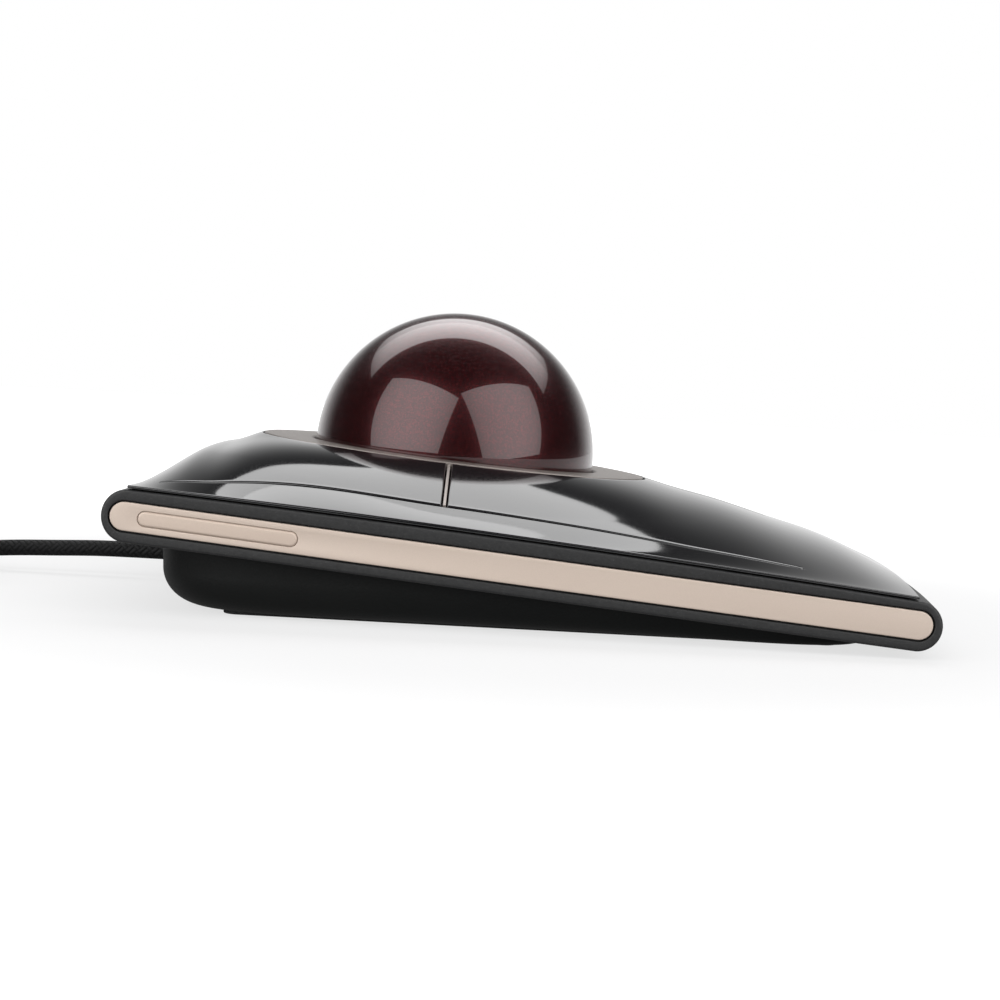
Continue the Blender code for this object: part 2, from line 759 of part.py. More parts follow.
def on_board(size, x, y):
    """A box that stands on a board."""
    lift = BOARD + GAP + size[2] / 2
    return box(size, (x, y, board_low(y) + lift), board_turn())


def make_board(name, x_range, y_range, screws):
    (x0, x1), (y0, y1) = x_range, y_range
    y = (y0 + y1) / 2
    board = box((x1 - x0, y1 - y0, BOARD), ((x0 + x1) / 2, y, board_low(y) + BOARD / 2), board_turn())
    made = finished(name, board, "board_green")
    holes = merged([upright(1.3, place, 0, 40, 12) for place in screws])
    combine(made, finished(f"{name}_holes", holes))
    for number, (x, y) in enumerate(screws, 1):
        top = board_low(y) + BOARD + GAP + 0.2
        head = upright(2.0, (x, y), top, top + 1.1, 14)
        shank = upright(0.8, (x, y), case_floor(y) + 0.3, top + 0.5, 10)
        screw = finished(f"{name}_screw_{number}", head, "steel")
        combine(screw, finished(f"{name}_shank_{number}", shank), "UNION")


def make_electronics():
    for name, (x_range, y_range, screws) in BOARDS.items():
        make_board(name, x_range, y_range, screws)
    finished("controller_chip", on_board((9, 9, 1.2), 0, -33), "matte_black")
    lift = board_low(-42) + BOARD + GAP
    finished("buzzer", upright(4.5, (-16, -42), lift + 0.45, lift + 4, 20), "matte_black")
    finished("cable_connector", on_board((9, 5.5, 4.5), 0, 54), "white_plastic")
    for row, (x, y) in (("front", FRONT_SWITCH), ("rear", REAR_SWITCH)):
        for side, hand in ((-1, "left"), (1, "right")):
            switch = finished(f"switch_{row}_{hand}", on_board(SWITCH, side * x, y), "matte_black")
            top = plunger_top(row)
            middle = (side * x, y, top - PLUNGER[2] / 2)
            low = top - PLUNGER[2] + PLUNGER_SUNK - PLUNGER_WELL
            well = box((PLUNGER[0] + 0.7, PLUNGER[1] + 0.7, 4), (side * x, y, low + 2))
            combine(switch, finished(f"well_{row}_{hand}", well))
            finished(f"plunger_{row}_{hand}", box(PLUNGER, middle), "white_plastic", middle)


# Cord


def coil_section(angle, half_width, low, high, corner):
    """Rounded section of the coil's bundle at an angle around the coil."""
    points = []
    middle = (low + high) / 2
    half_height = (high - low) / 2
    for turn in np.radians(np.arange(0, 360, 30)) + math.radians(15):
        r = COIL_MIDDLE + (half_width - corner) * np.sign(math.cos(turn)) + corner * math.cos(turn)
        z = middle + (half_height - corner) * np.sign(math.sin(turn)) + corner * math.sin(turn)
        points.append((COIL_CENTRE[0] + r * math.cos(angle), COIL_CENTRE[1] + r * math.sin(angle), z))
    return points


def make_cord():
    relief = cylinder(2.45, (0, 60.5, CORD_EXIT[2]), CORD_EXIT, 20, 1.9)
    made = finished("strain_relief", relief, "rubber")
    collar = cylinder(2.6, (0, 57.5, CORD_EXIT[2]), (0, 61, CORD_EXIT[2]), 20)
    combine(made, finished("relief_collar", collar), "UNION")
    tube("cord", smooth_route(CORD_ROUTE, 6), CORD, "braid", 3)

    low, high = COIL_LIFT, COIL_LIFT + COIL_BUNDLE
    around = np.linspace(0, 2 * math.pi, 32, endpoint=False)
    bundle = [coil_section(a, COIL_BUNDLE / 2, low, high, 1.6) for a in around]
    finished("cord_coil", loft(bundle, closed=True), "braid")
    spread = TIE_WIDTH / 2 / COIL_MIDDLE
    turns = TIE_TURN + np.linspace(-spread, spread, 4)
    band = [coil_section(a, COIL_BUNDLE / 2 + 1, low - 1, high + 1, 2.3) for a in turns]
    tie = finished("coil_tie", loft(band), "rubber")
    wide = TIE_TURN + np.linspace(-2 * spread, 2 * spread, 7)
    inside = [coil_section(a, COIL_BUNDLE / 2 + 0.3, low - 0.3, high + 0.3, 1.8) for a in wide]
    combine(tie, finished("tie_space", loft(inside)))
    tube("cord_tail", smooth_route(TAIL_ROUTE, 6), CORD, "braid", 3)

    x, y, z = PLUG_AXIS
    length, width, height = PLUG_BODY
    body = box(PLUG_BODY, (x - PLUG_NECK - length / 2, y, z))
    made = finished("plug_body", body, "rubber")
    neck = cylinder(2.3, (x, y, z), (x - PLUG_NECK - 1, y, z), 16, 3.4)
    bevel = made.modifiers.new("rounded", "BEVEL")
    bevel.width = 1.6 * MM
    bevel.segments = 2
    combine(made, finished("plug_neck", neck), "UNION")
    mouth = x - PLUG_NECK - length - GAP
    shell = box(PLUG_SHELL, (mouth - PLUG_SHELL[0] / 2, y, z))
    made = finished("plug_shell", shell, "steel")
    inner = box((PLUG_SHELL[0], PLUG_SHELL[1] - 0.7, PLUG_SHELL[2] - 0.7), (mouth - PLUG_SHELL[0] / 2 - 2, y, z))
    combine(made, finished("shell_space", inner))
    tongue = box((12, 10.6, 1.7), (mouth - 10, y, z + 0.7))
    finished("plug_tongue", tongue, "white_plastic")


for leftover in list(bpy.data.objects):
    bpy.data.objects.remove(leftover, do_unlink=True)
PARTS = collection("trackball")
CUTTERS = collection("cutters")

make_case()
make_base()
make_side_inserts()
make_top_cover()
make_buttons()
make_strips()
make_ball_and_cup()
make_electronics()
make_cord()
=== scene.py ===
"""Looks of a corded trackball mouse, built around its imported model.

Lengths in this file are millimetres until a mesh is made. +Y runs from the user's side to the rear,
where the cord leaves, +X to the user's right, and the desk is at Z = 0.
"""

from __future__ import annotations

import json
import logging
import math
from dataclasses import dataclass, field
from enum import Enum
from typing import Any, Callable, Sequence

import bmesh
import bpy
import numpy as np
from mathutils import Matrix, Vector

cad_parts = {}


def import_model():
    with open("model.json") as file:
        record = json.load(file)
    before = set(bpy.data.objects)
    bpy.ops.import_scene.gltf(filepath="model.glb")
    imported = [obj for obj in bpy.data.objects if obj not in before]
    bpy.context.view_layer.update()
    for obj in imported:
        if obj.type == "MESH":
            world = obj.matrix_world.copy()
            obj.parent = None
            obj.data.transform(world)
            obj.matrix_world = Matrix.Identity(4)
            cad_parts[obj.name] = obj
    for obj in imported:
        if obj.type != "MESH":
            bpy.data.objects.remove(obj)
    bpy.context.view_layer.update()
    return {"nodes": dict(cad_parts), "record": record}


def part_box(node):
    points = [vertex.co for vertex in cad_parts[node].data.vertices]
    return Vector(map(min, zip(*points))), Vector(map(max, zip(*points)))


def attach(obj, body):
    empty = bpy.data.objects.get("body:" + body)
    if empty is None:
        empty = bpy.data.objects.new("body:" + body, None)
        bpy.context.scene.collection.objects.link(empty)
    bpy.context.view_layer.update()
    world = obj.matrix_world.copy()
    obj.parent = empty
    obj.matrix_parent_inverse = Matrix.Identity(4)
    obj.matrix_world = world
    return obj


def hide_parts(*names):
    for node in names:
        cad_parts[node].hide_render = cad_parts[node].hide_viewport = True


MM = 0.001
log = logging.getLogger("trackball")

Array = np.ndarray
Colour = tuple[float, float, float]


class Row(Enum):
    """The two rows of buttons, with the way each lies from the ball along Y."""

    FRONT = -1
    REAR = 1


class Hand(Enum):
    """The two halves of the case, with the way each lies from the middle along X."""

    LEFT = -1
    RIGHT = 1


# ---------------------------------------------------------------- curves


def smoothstep(low: float, high: float, at: Array) -> Array:
    """Eases from 0 at low to 1 at high.

    Args:
        low: Where the step starts.
        high: Where it ends.
        at: Places along the step.

    Returns:
        3q^2 - 2q^3, where q is the share of the way from low to high.
    """
    q = np.clip((np.asarray(at, float) - low) / (high - low), 0, 1)
    return q * q * (3 - 2 * q)


def through(knots: Sequence[tuple[float, ...]], at: Array) -> Array:
    """Runs a smooth curve through knots, the first number of each being the place along it.

    Each stretch is a cubic Hermite piece, whose end slopes come from the neighbouring knots.

    Args:
        knots: Rows of a place and one or more values there.
        at: Places to read the curve at.

    Returns:
        The values at those places, with one column per value, or none for a single value.
    """
    table = np.array(knots, float)
    xs, ys = table[:, 0], table[:, 1:]
    slopes = np.gradient(ys, xs, axis=0)
    at = np.asarray(at, float)
    i = np.clip(np.searchsorted(xs, at) - 1, 0, len(xs) - 2)
    width = (xs[i + 1] - xs[i])[..., None]
    q = (at[..., None] - xs[i][..., None]) / width
    start = (1 + 2 * q) * (1 - q) ** 2 * ys[i] + q * (1 - q) ** 2 * width * slopes[i]
    stop = q**2 * (3 - 2 * q) * ys[i + 1] - q**2 * (1 - q) * width * slopes[i + 1]
    value = start + stop
    return value[..., 0] if ys.shape[1] == 1 else value


def rounded(corners: Sequence[tuple[float, float, float]], steps: int = 5) -> Array:
    """Rounds the corners of a closed outline.

    At each corner an arc, drawn as a quadratic Bezier, joins the points one radius back along both sides.

    Args:
        corners: Rows of two coordinates and the corner's radius, 0 for a sharp one.
        steps: Points on each arc.

    Returns:
        The outline's points, in order.
    """
    table = np.array(corners, float)
    here, radius = table[:, :2], table[:, 2:]
    before, after = np.roll(here, 1, axis=0), np.roll(here, -1, axis=0)

    def towards(other: Array) -> Array:
        """Gives the point one radius from each corner towards another."""
        way = other - here
        return here + way / np.linalg.norm(way, axis=1, keepdims=True) * radius

    first, last = towards(before), towards(after)
    q = np.linspace(0, 1, steps)[None, :, None]
    arcs = first[:, None] * (1 - q) ** 2 + here[:, None] * 2 * q * (1 - q) + last[:, None] * q**2
    points = [arc if r > 0 else arc[:1] for arc, r in zip(arcs, radius[:, 0])]
    return np.concatenate(points)


def rolled_edge(radius: float, steps: int = 6) -> tuple[Array, Array]:
    """Gives a quarter-round edge as distances in from the edge and drops below the top.

    Args:
        radius: The edge's radius.
        steps: Points on it, from the wall to the top.

    Returns:
        Distances r(1 - cos a) and drops r(1 - sin a), for a from 0 to a right angle.
    """
    angle = np.linspace(0, math.pi / 2, steps)
    return radius * (1 - np.cos(angle)), radius * (1 - np.sin(angle))


# ---------------------------------------------------------------- meshes


@dataclass
class Skin:
    """Gathers patches of surface into one piece's mesh, in millimetres."""

    name: str
    points: list[Array] = field(default_factory=list)
    faces: list[Any] = field(default_factory=list)
    count: int = 0

    def patch(self, grid: Array, wrap_rows: bool = False, wrap_cols: bool = False) -> Array:
        """Adds a surface on a grid of points.

        Args:
            grid: Points by row and column.
            wrap_rows: Joins the last row to the first.
            wrap_cols: Joins the last column to the first.

        Returns:
            The index of each point, by row and column.
        """
        rows, cols = grid.shape[:2]
        index = np.arange(rows * cols).reshape(rows, cols) + self.count
        self.points.append(grid.reshape(-1, 3))
        self.count += rows * cols
        net = np.vstack([index, index[:1]]) if wrap_rows else index
        net = np.hstack([net, net[:, :1]]) if wrap_cols else net
        corners = [net[:-1, :-1], net[1:, :-1], net[1:, 1:], net[:-1, 1:]]
        self.faces += np.stack(corners, axis=-1).reshape(-1, 4).tolist()
        return index

    def fan(self, ring: Array, centre: Array) -> None:
        """Closes a ring of points with triangles to a centre.

        Args:
            ring: The ring's point indices.
            centre: The centre's place.
        """
        self.points.append(np.asarray(centre, float).reshape(1, 3))
        hub = np.full(len(ring), self.count)
        self.count += 1
        self.faces += np.stack([ring, np.roll(ring, -1), hub], axis=1).tolist()

    def solid(self, sections: Array, loop: bool = False) -> None:
        """Adds a closed body through sections.

        Args:
            sections: Closed outlines, one per row.
            loop: Joins the last section to the first, in place of closing both ends.
        """
        index = self.patch(sections, wrap_rows=loop, wrap_cols=True)
        if not loop:
            self.fan(index[0], sections[0].mean(axis=0))
            self.fan(index[-1], sections[-1].mean(axis=0))

    def object(self, sharp: float = 35.0) -> bpy.types.Object:
        """Makes the mesh and its object.

        Args:
            sharp: Edges that turn by more than this many degrees stay sharp.

        Returns:
            The object, at the origin, with its faces pointing outwards.
        """
        mesh = bpy.data.meshes.new(self.name)
        mesh.from_pydata((np.concatenate(self.points) * MM).tolist(), [], self.faces)
        form = bmesh.new()
        form.from_mesh(mesh)
        bmesh.ops.remove_doubles(form, verts=form.verts[:], dist=0.0004 * MM)
        bmesh.ops.recalc_face_normals(form, faces=form.faces[:])
        form.to_mesh(mesh)
        form.free()
        made = bpy.data.objects.new(self.name, mesh)
        bpy.context.scene.collection.objects.link(made)
        shade(made, sharp)
        return made


def shade(piece: bpy.types.Object, sharp: float) -> None:
    """Shades a piece smoothly, apart from its sharp edges.

    Args:
        piece: The piece.
        sharp: The least angle of a sharp edge, in degrees.
    """
    mesh = piece.data
    mesh.polygons.foreach_set("use_smooth", np.ones(len(mesh.polygons), bool))
    mesh.set_sharp_from_angle(angle=math.radians(sharp))
    mesh.update()


def shaped(piece: bpy.types.Object, tools: Sequence[bpy.types.Object], way: str, sharp: float = 35.0) -> None:
    """Cuts tools out of a piece, or joins them to it, and clears them away.

    Args:
        piece: The piece to change.
        tools: Closed bodies.
        way: DIFFERENCE or UNION.
        sharp: The least angle of a sharp edge afterwards, in degrees.
    """
    for tool in tools:
        step = piece.modifiers.new("shape", "BOOLEAN")
        step.operation, step.solver, step.object = way, "EXACT", tool
    graph = bpy.context.evaluated_depsgraph_get()
    result = bpy.data.meshes.new_from_object(piece.evaluated_get(graph))
    piece.modifiers.clear()
    piece.data = result
    for tool in tools:
        bpy.data.objects.remove(tool, do_unlink=True)
    shade(piece, sharp)


def turned(skin: Skin, outline: Array, centre: Sequence[float], axis: Sequence[float], steps: int) -> None:
    """Turns a closed outline once round an axis.

    A point (r, h) of the outline goes to centre + h * axis + r * (cos a * u + sin a * v), where u and v
    are square to the axis.

    Args:
        skin: The piece it is added to.
        outline: Distances from the axis and heights along it.
        centre: The axis's zero height.
        axis: The axis's direction.
        steps: Stations round the axis.
    """
    way, u, v = square_frame(axis)
    angle = np.linspace(0, 2 * math.pi, steps, endpoint=False)[:, None, None]
    r, h = outline[None, :, :1], outline[None, :, 1:]
    grid = np.array(centre, float) + h * way + r * (np.cos(angle) * u + np.sin(angle) * v)
    skin.patch(grid, wrap_rows=True, wrap_cols=True)


def square_frame(axis: Sequence[float]) -> tuple[Array, Array, Array]:
    """Gives an axis as a unit vector, and two unit vectors square to it and each other."""
    way = np.array(axis, float) / np.linalg.norm(axis)
    other = np.array([1.0, 0, 0]) if abs(way[0]) < 0.8 else np.array([0, 1.0, 0])
    u = np.cross(other, way)
    u /= np.linalg.norm(u)
    return way, u, np.cross(way, u)


def rod(
    name: str, radius: float, centre: Sequence[float], low: float, high: float, steps: int = 48
) -> bpy.types.Object:
    """Makes an upright round tool for cutting or joining.

    Args:
        name: The tool's name.
        radius: Its radius.
        centre: Its place in plan.
        low: Its lower end.
        high: Its upper end.
        steps: Points round it.

    Returns:
        The tool.
    """
    angle = np.linspace(0, 2 * math.pi, steps, endpoint=False)
    ring = np.stack([centre[0] + radius * np.cos(angle), centre[1] + radius * np.sin(angle)], axis=1)
    sections = np.stack([np.c_[ring, np.full(steps, z)] for z in (low, high)])
    tool = Skin(name)
    tool.solid(sections)
    return tool.object()


# ---------------------------------------------------------------- shader maths


@dataclass(frozen=True)
class Term:
    """A shader socket that can be used in sums."""

    paint: "Paint"
    socket: Any

    def _sum(self, way: str, first: Any, second: Any) -> "Term":
        """Adds one Math node for first and second."""
        return self.paint.node("ShaderNodeMath", {"operation": way}, {0: first, 1: second})

    def __add__(self, other: Any) -> "Term":
        """Gives self + other."""
        return self._sum("ADD", self, other)

    __radd__ = __add__

    def __sub__(self, other: Any) -> "Term":
        """Gives self - other."""
        return self._sum("SUBTRACT", self, other)

    def __rsub__(self, other: Any) -> "Term":
        """Gives other - self."""
        return self._sum("SUBTRACT", other, self)

    def __mul__(self, other: Any) -> "Term":
        """Gives self * other."""
        return self._sum("MULTIPLY", self, other)

    __rmul__ = __mul__

    def __truediv__(self, other: Any) -> "Term":
        """Gives self / other."""
        return self._sum("DIVIDE", self, other)

    def __pow__(self, other: Any) -> "Term":
        """Gives self to a power."""
        return self._sum("POWER", self, other)

    def __gt__(self, other: Any) -> "Term":
        """Gives 1 where self is greater."""
        return self._sum("GREATER_THAN", self, other)

    def unary(self, way: str) -> "Term":
        """Gives one of the Math node's functions of self."""
        return self.paint.node("ShaderNodeMath", {"operation": way}, {0: self})

    def ease(self, low: float, high: float, start: float = 0.0, stop: float = 1.0) -> "Term":
        """Eases from start to stop as self goes from low to high.

        Args:
            low: Self's value where the step starts.
            high: Self's value where it ends.
            start: The result before the step.
            stop: The result after it.

        Returns:
            The eased value.
        """
        sockets = {0: self, 1: low, 2: high, 3: start, 4: stop}
        return self.paint.node("ShaderNodeMapRange", {"interpolation_type": "SMOOTHSTEP"}, sockets)


class Paint:
    """One material's node tree, with a Principled surface."""

    def __init__(self, name: str) -> None:
        """Starts a material.

        Args:
            name: The material's name.
        """
        self.material = bpy.data.materials.new(name)
        self.material.use_nodes = True
        self.tree = self.material.node_tree
        self.tree.nodes.clear()
        self.out = self.tree.nodes.new("ShaderNodeOutputMaterial")
        self.surface = self.tree.nodes.new("ShaderNodeBsdfPrincipled")
        self.tree.links.new(self.surface.outputs[0], self.out.inputs["Surface"])
        self._place: Term | None = None

    @classmethod
    def on(cls, tree: Any) -> "Paint":
        """Works on the bare node tree of a light or a world."""
        paint = cls.__new__(cls)
        paint.tree, paint._place = tree, None
        return paint

    def node(self, kind: str, settings: dict[str, Any], sockets: dict[Any, Any], out: Any = 0) -> Term:
        """Adds any node.

        Args:
            kind: The node's type.
            settings: Its properties, and "stops" for a ramp's places and colours; set first.
            sockets: A value or a Term for each input, by name or number.
            out: The output to use, by name or number.

        Returns:
            That output.
        """
        made = self.tree.nodes.new(kind)
        for key, value in settings.items():
            if key == "stops":
                ramp = made.color_ramp
                while len(ramp.elements) < len(value):
                    ramp.elements.new(1.0)
                for element, (place, colour) in zip(ramp.elements, value):
                    element.position, element.color = place, (*colour, 1.0)
            else:
                setattr(made, key, value)
        for key, value in sockets.items():
            self.feed(made.inputs[key], value)
        return Term(self, None if out is None else made.outputs[out])

    def feed(self, socket: Any, value: Any) -> None:
        """Links a Term to a socket, or sets the socket's own value."""
        if isinstance(value, Term):
            self.tree.links.new(value.socket, socket)
        elif isinstance(value, tuple) and len(value) == 3 and len(socket.default_value) == 4:
            socket.default_value = (*value, 1.0)
        else:
            socket.default_value = value

    @property
    def place(self) -> Term:
        """Object coordinates, in metres."""
        if self._place is None:
            self._place = self.node("ShaderNodeTexCoord", {}, {}, "Object")
        return self._place

    def stretched(self, scale: Colour) -> Term:
        """Gives the object coordinates multiplied along each axis."""
        return self.node("ShaderNodeMapping", {}, {"Vector": self.place, "Scale": scale})

    def noise(
        self, size_mm: float, detail: float = 2.0, roughness: float = 0.5, at: Term | None = None
    ) -> Term:
        """Gives soft noise.

        Args:
            size_mm: The size of its features, in millimetres.
            detail: How many finer layers it has.
            roughness: How strong the finer layers are.
            at: Coordinates in place of the object's.

        Returns:
            A value around 0.5.
        """
        scale = 1 / (size_mm * MM)
        sockets = {"Vector": at or self.place, "Scale": scale, "Detail": detail, "Roughness": roughness}
        return self.node("ShaderNodeTexNoise", {}, sockets, "Fac")

    def cells(self, size_mm: float, out: str = "Color") -> Term:
        """Gives a random value, or the distance to the middle, for cells of a size in millimetres."""
        return self.node("ShaderNodeTexVoronoi", {}, {"Vector": self.place, "Scale": 1 / (size_mm * MM)}, out)

    def blend(self, share: Any, first: Any, second: Any) -> Term:
        """Mixes two colours.

        Args:
            share: How much of the second shows, from 0 to 1.
            first: A colour.
            second: A colour.

        Returns:
            The mixed colour.
        """
        settings = {"data_type": "RGBA", "blend_type": "MIX"}
        return self.node("ShaderNodeMix", settings, {0: share, 6: first, 7: second}, 2)

    def parts(self, vector: Term) -> tuple[Term, Term, Term]:
        """Splits a vector into its three numbers."""
        split = self.tree.nodes.new("ShaderNodeSeparateXYZ")
        self.feed(split.inputs[0], vector)
        return Term(self, split.outputs[0]), Term(self, split.outputs[1]), Term(self, split.outputs[2])

    def relief(self, height: Term, depth_mm: float, under: Term | None = None) -> Term:
        """Turns a height between 0 and 1 into a bumped normal.

        Args:
            height: The height.
            depth_mm: The relief from 0 to 1, in millimetres.
            under: A bumped normal it is added to.

        Returns:
            The normal.
        """
        sockets = {"Height": height, "Distance": depth_mm * MM, "Strength": 1.0}
        if under is not None:
            sockets["Normal"] = under
        return self.node("ShaderNodeBump", {}, sockets, "Normal")

    def coat(self, **sockets: Any) -> bpy.types.Material:
        """Sets the surface's sockets, named with underscores for spaces, and gives the material."""
        for name, value in sockets.items():
            self.feed(self.surface.inputs[name.replace("_", " ")], value)
        return self.material


# ---------------------------------------------------------------- finishes


@dataclass(frozen=True)
class PianoBlack:
    """Polished black moulding of the cover and buttons."""

    colour: Colour = (0.006, 0.006, 0.0065)
    sheen_colour: Colour = (0.011, 0.011, 0.012)
    roughness: float = 0.035
    slot: str = "gloss_black"

    def material(self) -> bpy.types.Material:
        """Gives the material: faint mould ripple, and fine rubbed haze in the polish."""
        p = Paint("piano_black")
        haze = p.noise(0.35, 3, 0.6)
        rubbed = p.noise(22, 2)
        colour = p.blend(rubbed, self.colour, self.sheen_colour)
        ripple = p.relief(p.noise(9, 1, 0.4), 0.006)
        grain = p.relief(haze, 0.0003, ripple)
        rough = haze * 0.03 + rubbed * 0.02 + self.roughness
        return p.coat(Base_Color=colour, Roughness=rough, Normal=grain, IOR=1.7)


@dataclass(frozen=True)
class SparkCharcoal:
    """Spark-eroded charcoal moulding of the lower housing, with fine grains painted bright as glints."""

    colour: Colour = (0.0115, 0.0115, 0.0118)
    painted_glint_colour: Colour = (0.15, 0.15, 0.155)
    slot: str = "textured_charcoal"

    def material(self) -> bpy.types.Material:
        """Gives the material: pitted texture of two sizes, with scattered grains on its peaks painted bright as
        glints.
        """
        p = Paint("spark_charcoal")
        pits = p.noise(0.28, 2, 0.6)
        coarse = p.noise(0.7, 2)
        grains = p.cells(0.16, "Distance")
        # Small cells on the texture's peaks are painted far lighter than the charcoal: painted glints.
        painted_glints = (1 - grains).ease(0.72, 0.92) * pits.ease(0.5, 0.7)
        tone = p.blend(coarse, self.colour, (0.027, 0.027, 0.0275))
        colour = p.blend(painted_glints * 0.9, tone, self.painted_glint_colour)
        bumped = p.relief(pits, 0.035, p.relief(coarse, 0.03))
        return p.coat(Base_Color=colour, Roughness=pits * 0.2 + 0.36, Normal=bumped, Specular_IOR_Level=0.4)


@dataclass(frozen=True)
class MatteBlack:
    """Fine matte black moulding of the base and the inner mouldings."""

    colour: Colour = (0.0045, 0.0051, 0.0049)
    slot: str = "matte_black"

    def material(self) -> bpy.types.Material:
        """Gives the material: fine even texture, a little rubbed."""
        p = Paint("matte_black_moulding")
        fine = p.noise(0.22, 2, 0.6)
        patch = p.noise(14, 3)
        colour = p.blend(patch, self.colour, (0.008, 0.0087, 0.0085))
        bumped = p.relief(fine, 0.018, p.relief(p.noise(0.8, 2), 0.02))
        rough = fine * 0.16 + patch * 0.1 + 0.36
        return p.coat(Base_Color=colour, Roughness=rough, Normal=bumped, Specular_IOR_Level=0.18)


@dataclass(frozen=True)
class WarmBeige:
    """Satin beige of the side trims, a pearl paint over plastic."""

    colour: Colour = (0.58, 0.485, 0.412)
    deep: Colour = (0.535, 0.44, 0.374)
    name: str = "warm_beige"
    slot: str = "beige"

    def material(self) -> bpy.types.Material:
        """Gives the material: pearl grain, and slow drift of tone along the trim."""
        p = Paint(self.name)
        pearl = p.cells(0.09)
        drift = p.noise(30, 2)
        tone = p.blend(drift, self.deep, self.colour)
        light = tuple(min(1.0, c * 1.16) for c in self.colour)
        colour = p.blend(p.parts(pearl)[0] * 0.3, tone, light)
        bumped = p.relief(p.noise(0.16, 2), 0.003)
        return p.coat(Base_Color=colour, Roughness=drift * 0.08 + 0.36, Metallic=0.12, Normal=bumped)


@dataclass(frozen=True)
class Champagne:
    """Satin metallic paint of the ring and the strips between the buttons."""

    colour: Colour = (0.20, 0.175, 0.16)
    slot: str = "champagne"

    def material(self) -> bpy.types.Material:
        """Gives the material: metal flake grain under a thin clear coat."""
        p = Paint("champagne_metal")
        flake = p.parts(p.cells(0.07))[0]
        colour = p.blend(flake * 0.5, self.colour, (0.34, 0.30, 0.275))
        bumped = p.relief(p.noise(0.12, 2), 0.002)
        return p.coat(
            Base_Color=colour,
            Metallic=0.8,
            Roughness=flake * 0.1 + 0.33,
            Normal=bumped,
            Coat_Weight=0.15,
            Coat_Roughness=0.2,
        )


@dataclass(frozen=True)
class DeepRedResin:
    """Polished dark red resin of the ball, with fine flakes below the surface."""

    colour: Colour = (0.026, 0.0012, 0.0018)
    flake: Colour = (0.085, 0.004, 0.006)
    slot: str = "ball_resin"

    def material(self) -> bpy.types.Material:
        """Gives the material: a red flake layer under a clear polished coat."""
        p = Paint("deep_red_resin")
        bits = p.parts(p.cells(0.22))[0]
        cloud = p.noise(6, 3)
        colour = p.blend(bits.ease(0.35, 1.0) * 0.75, self.colour, self.flake)
        colour = p.blend(cloud * 0.25, colour, (0.02, 0.002, 0.004))
        tilted = p.relief(p.parts(p.cells(0.3))[1], 0.012)
        return p.coat(
            Base_Color=colour,
            Metallic=0.72,
            Roughness=0.24,
            Normal=tilted,
            Coat_Weight=1.0,
            Coat_Roughness=0.012,
            Coat_IOR=1.5,
        )


@dataclass(frozen=True)
class Rubber:
    """Soft black rubber of the feet, strain relief, cord tie and plug grip."""

    colour: Colour = (0.018, 0.018, 0.019)
    slot: str = "rubber"

    def material(self) -> bpy.types.Material:
        """Gives the material: dull grain with dusty patches."""
        p = Paint("soft_rubber")
        fine = p.noise(0.3, 3, 0.6)
        dust = p.noise(5, 3)
        colour = p.blend(dust.ease(0.45, 0.75) * 0.5, self.colour, (0.035, 0.035, 0.035))
        return p.coat(Base_Color=colour, Roughness=fine * 0.2 + 0.55, Normal=p.relief(fine, 0.02))


@dataclass(frozen=True)
class WovenSleeve:
    """Herringbone sleeve of the cord, in black yarn with a soft shine.

    Attributes:
        strands: Strands of each way round the cord.
        pitch_mm: Length along the cord in which a strand goes once round, over the strands.
    """

    colour: Colour = (0.004, 0.004, 0.0042)
    unshaded_yarn: Colour = (0.016, 0.016, 0.0168)
    strands: float = 8.0
    pitch_mm: float = 1.25
    slot: str = "braid"

    def material(self) -> bpy.types.Material:
        """Gives the material: two crossing sets of strands, each over the other in turn, with the hollows between
        strands painted darker than the crests as painted shade.
        """
        p = Paint("woven_sleeve")
        u, v, _ = p.parts(p.node("ShaderNodeUVMap", {"uv_map": "sleeve"}, {}, "UV"))
        along = v * (1 / (self.pitch_mm * MM))
        rising = u * self.strands + along
        falling = u * self.strands - along
        ridge_up = (rising * math.pi).unary("SINE").unary("ABSOLUTE")
        ridge_down = (falling * math.pi).unary("SINE").unary("ABSOLUTE")
        over = ((rising * (math.pi / 2)).unary("SINE") * (falling * (math.pi / 2)).unary("SINE")).ease(-0.2, 0.2)
        height = ridge_up * over + ridge_down * (1 - over)
        fibres = p.noise(0.12, 2, 0.6)
        # The colour goes from the dark hollows to the lighter crests with the strands' height: painted shade in the
        # hollows.
        colour = p.blend(height.ease(0.3, 1.0) * (fibres * 0.8 + 0.2), self.colour, self.unshaded_yarn)
        bumped = p.relief(height * 0.85 + fibres * 0.15, 0.16)
        return p.coat(Base_Color=colour, Roughness=fibres * 0.2 + 0.55, Normal=bumped, Specular_IOR_Level=0.25)


@dataclass(frozen=True)
class BrushedSteel:
    """Plain steel of screws, bearings and the plug's shell."""

    colour: Colour = (0.56, 0.56, 0.57)
    slot: str = "steel"

    def material(self) -> bpy.types.Material:
        """Gives the material: fine scratches along one axis."""
        p = Paint("plain_steel")
        scratches = p.noise(0.25, 2, 0.6, at=p.stretched((0.05, 1.0, 1.0)))
        colour = p.blend(scratches, self.colour, (0.42, 0.42, 0.43))
        scored = p.relief(scratches, 0.003)
        return p.coat(Base_Color=colour, Metallic=1.0, Roughness=scratches * 0.2 + 0.2, Normal=scored)


@dataclass(frozen=True)
class RedLens:
    """Clear red filter over each sensor."""

    colour: Colour = (0.25, 0.01, 0.015)
    slot: str = "lens"

    def material(self) -> bpy.types.Material:
        """Gives the material: clear glassy red, a little wavy."""
        p = Paint("red_lens")
        wave = p.noise(1.5, 2)
        colour = p.blend(wave, self.colour, (0.16, 0.005, 0.01))
        return p.coat(Base_Color=colour, Roughness=wave * 0.05 + 0.04, Normal=p.relief(wave, 0.01), Alpha=0.6)


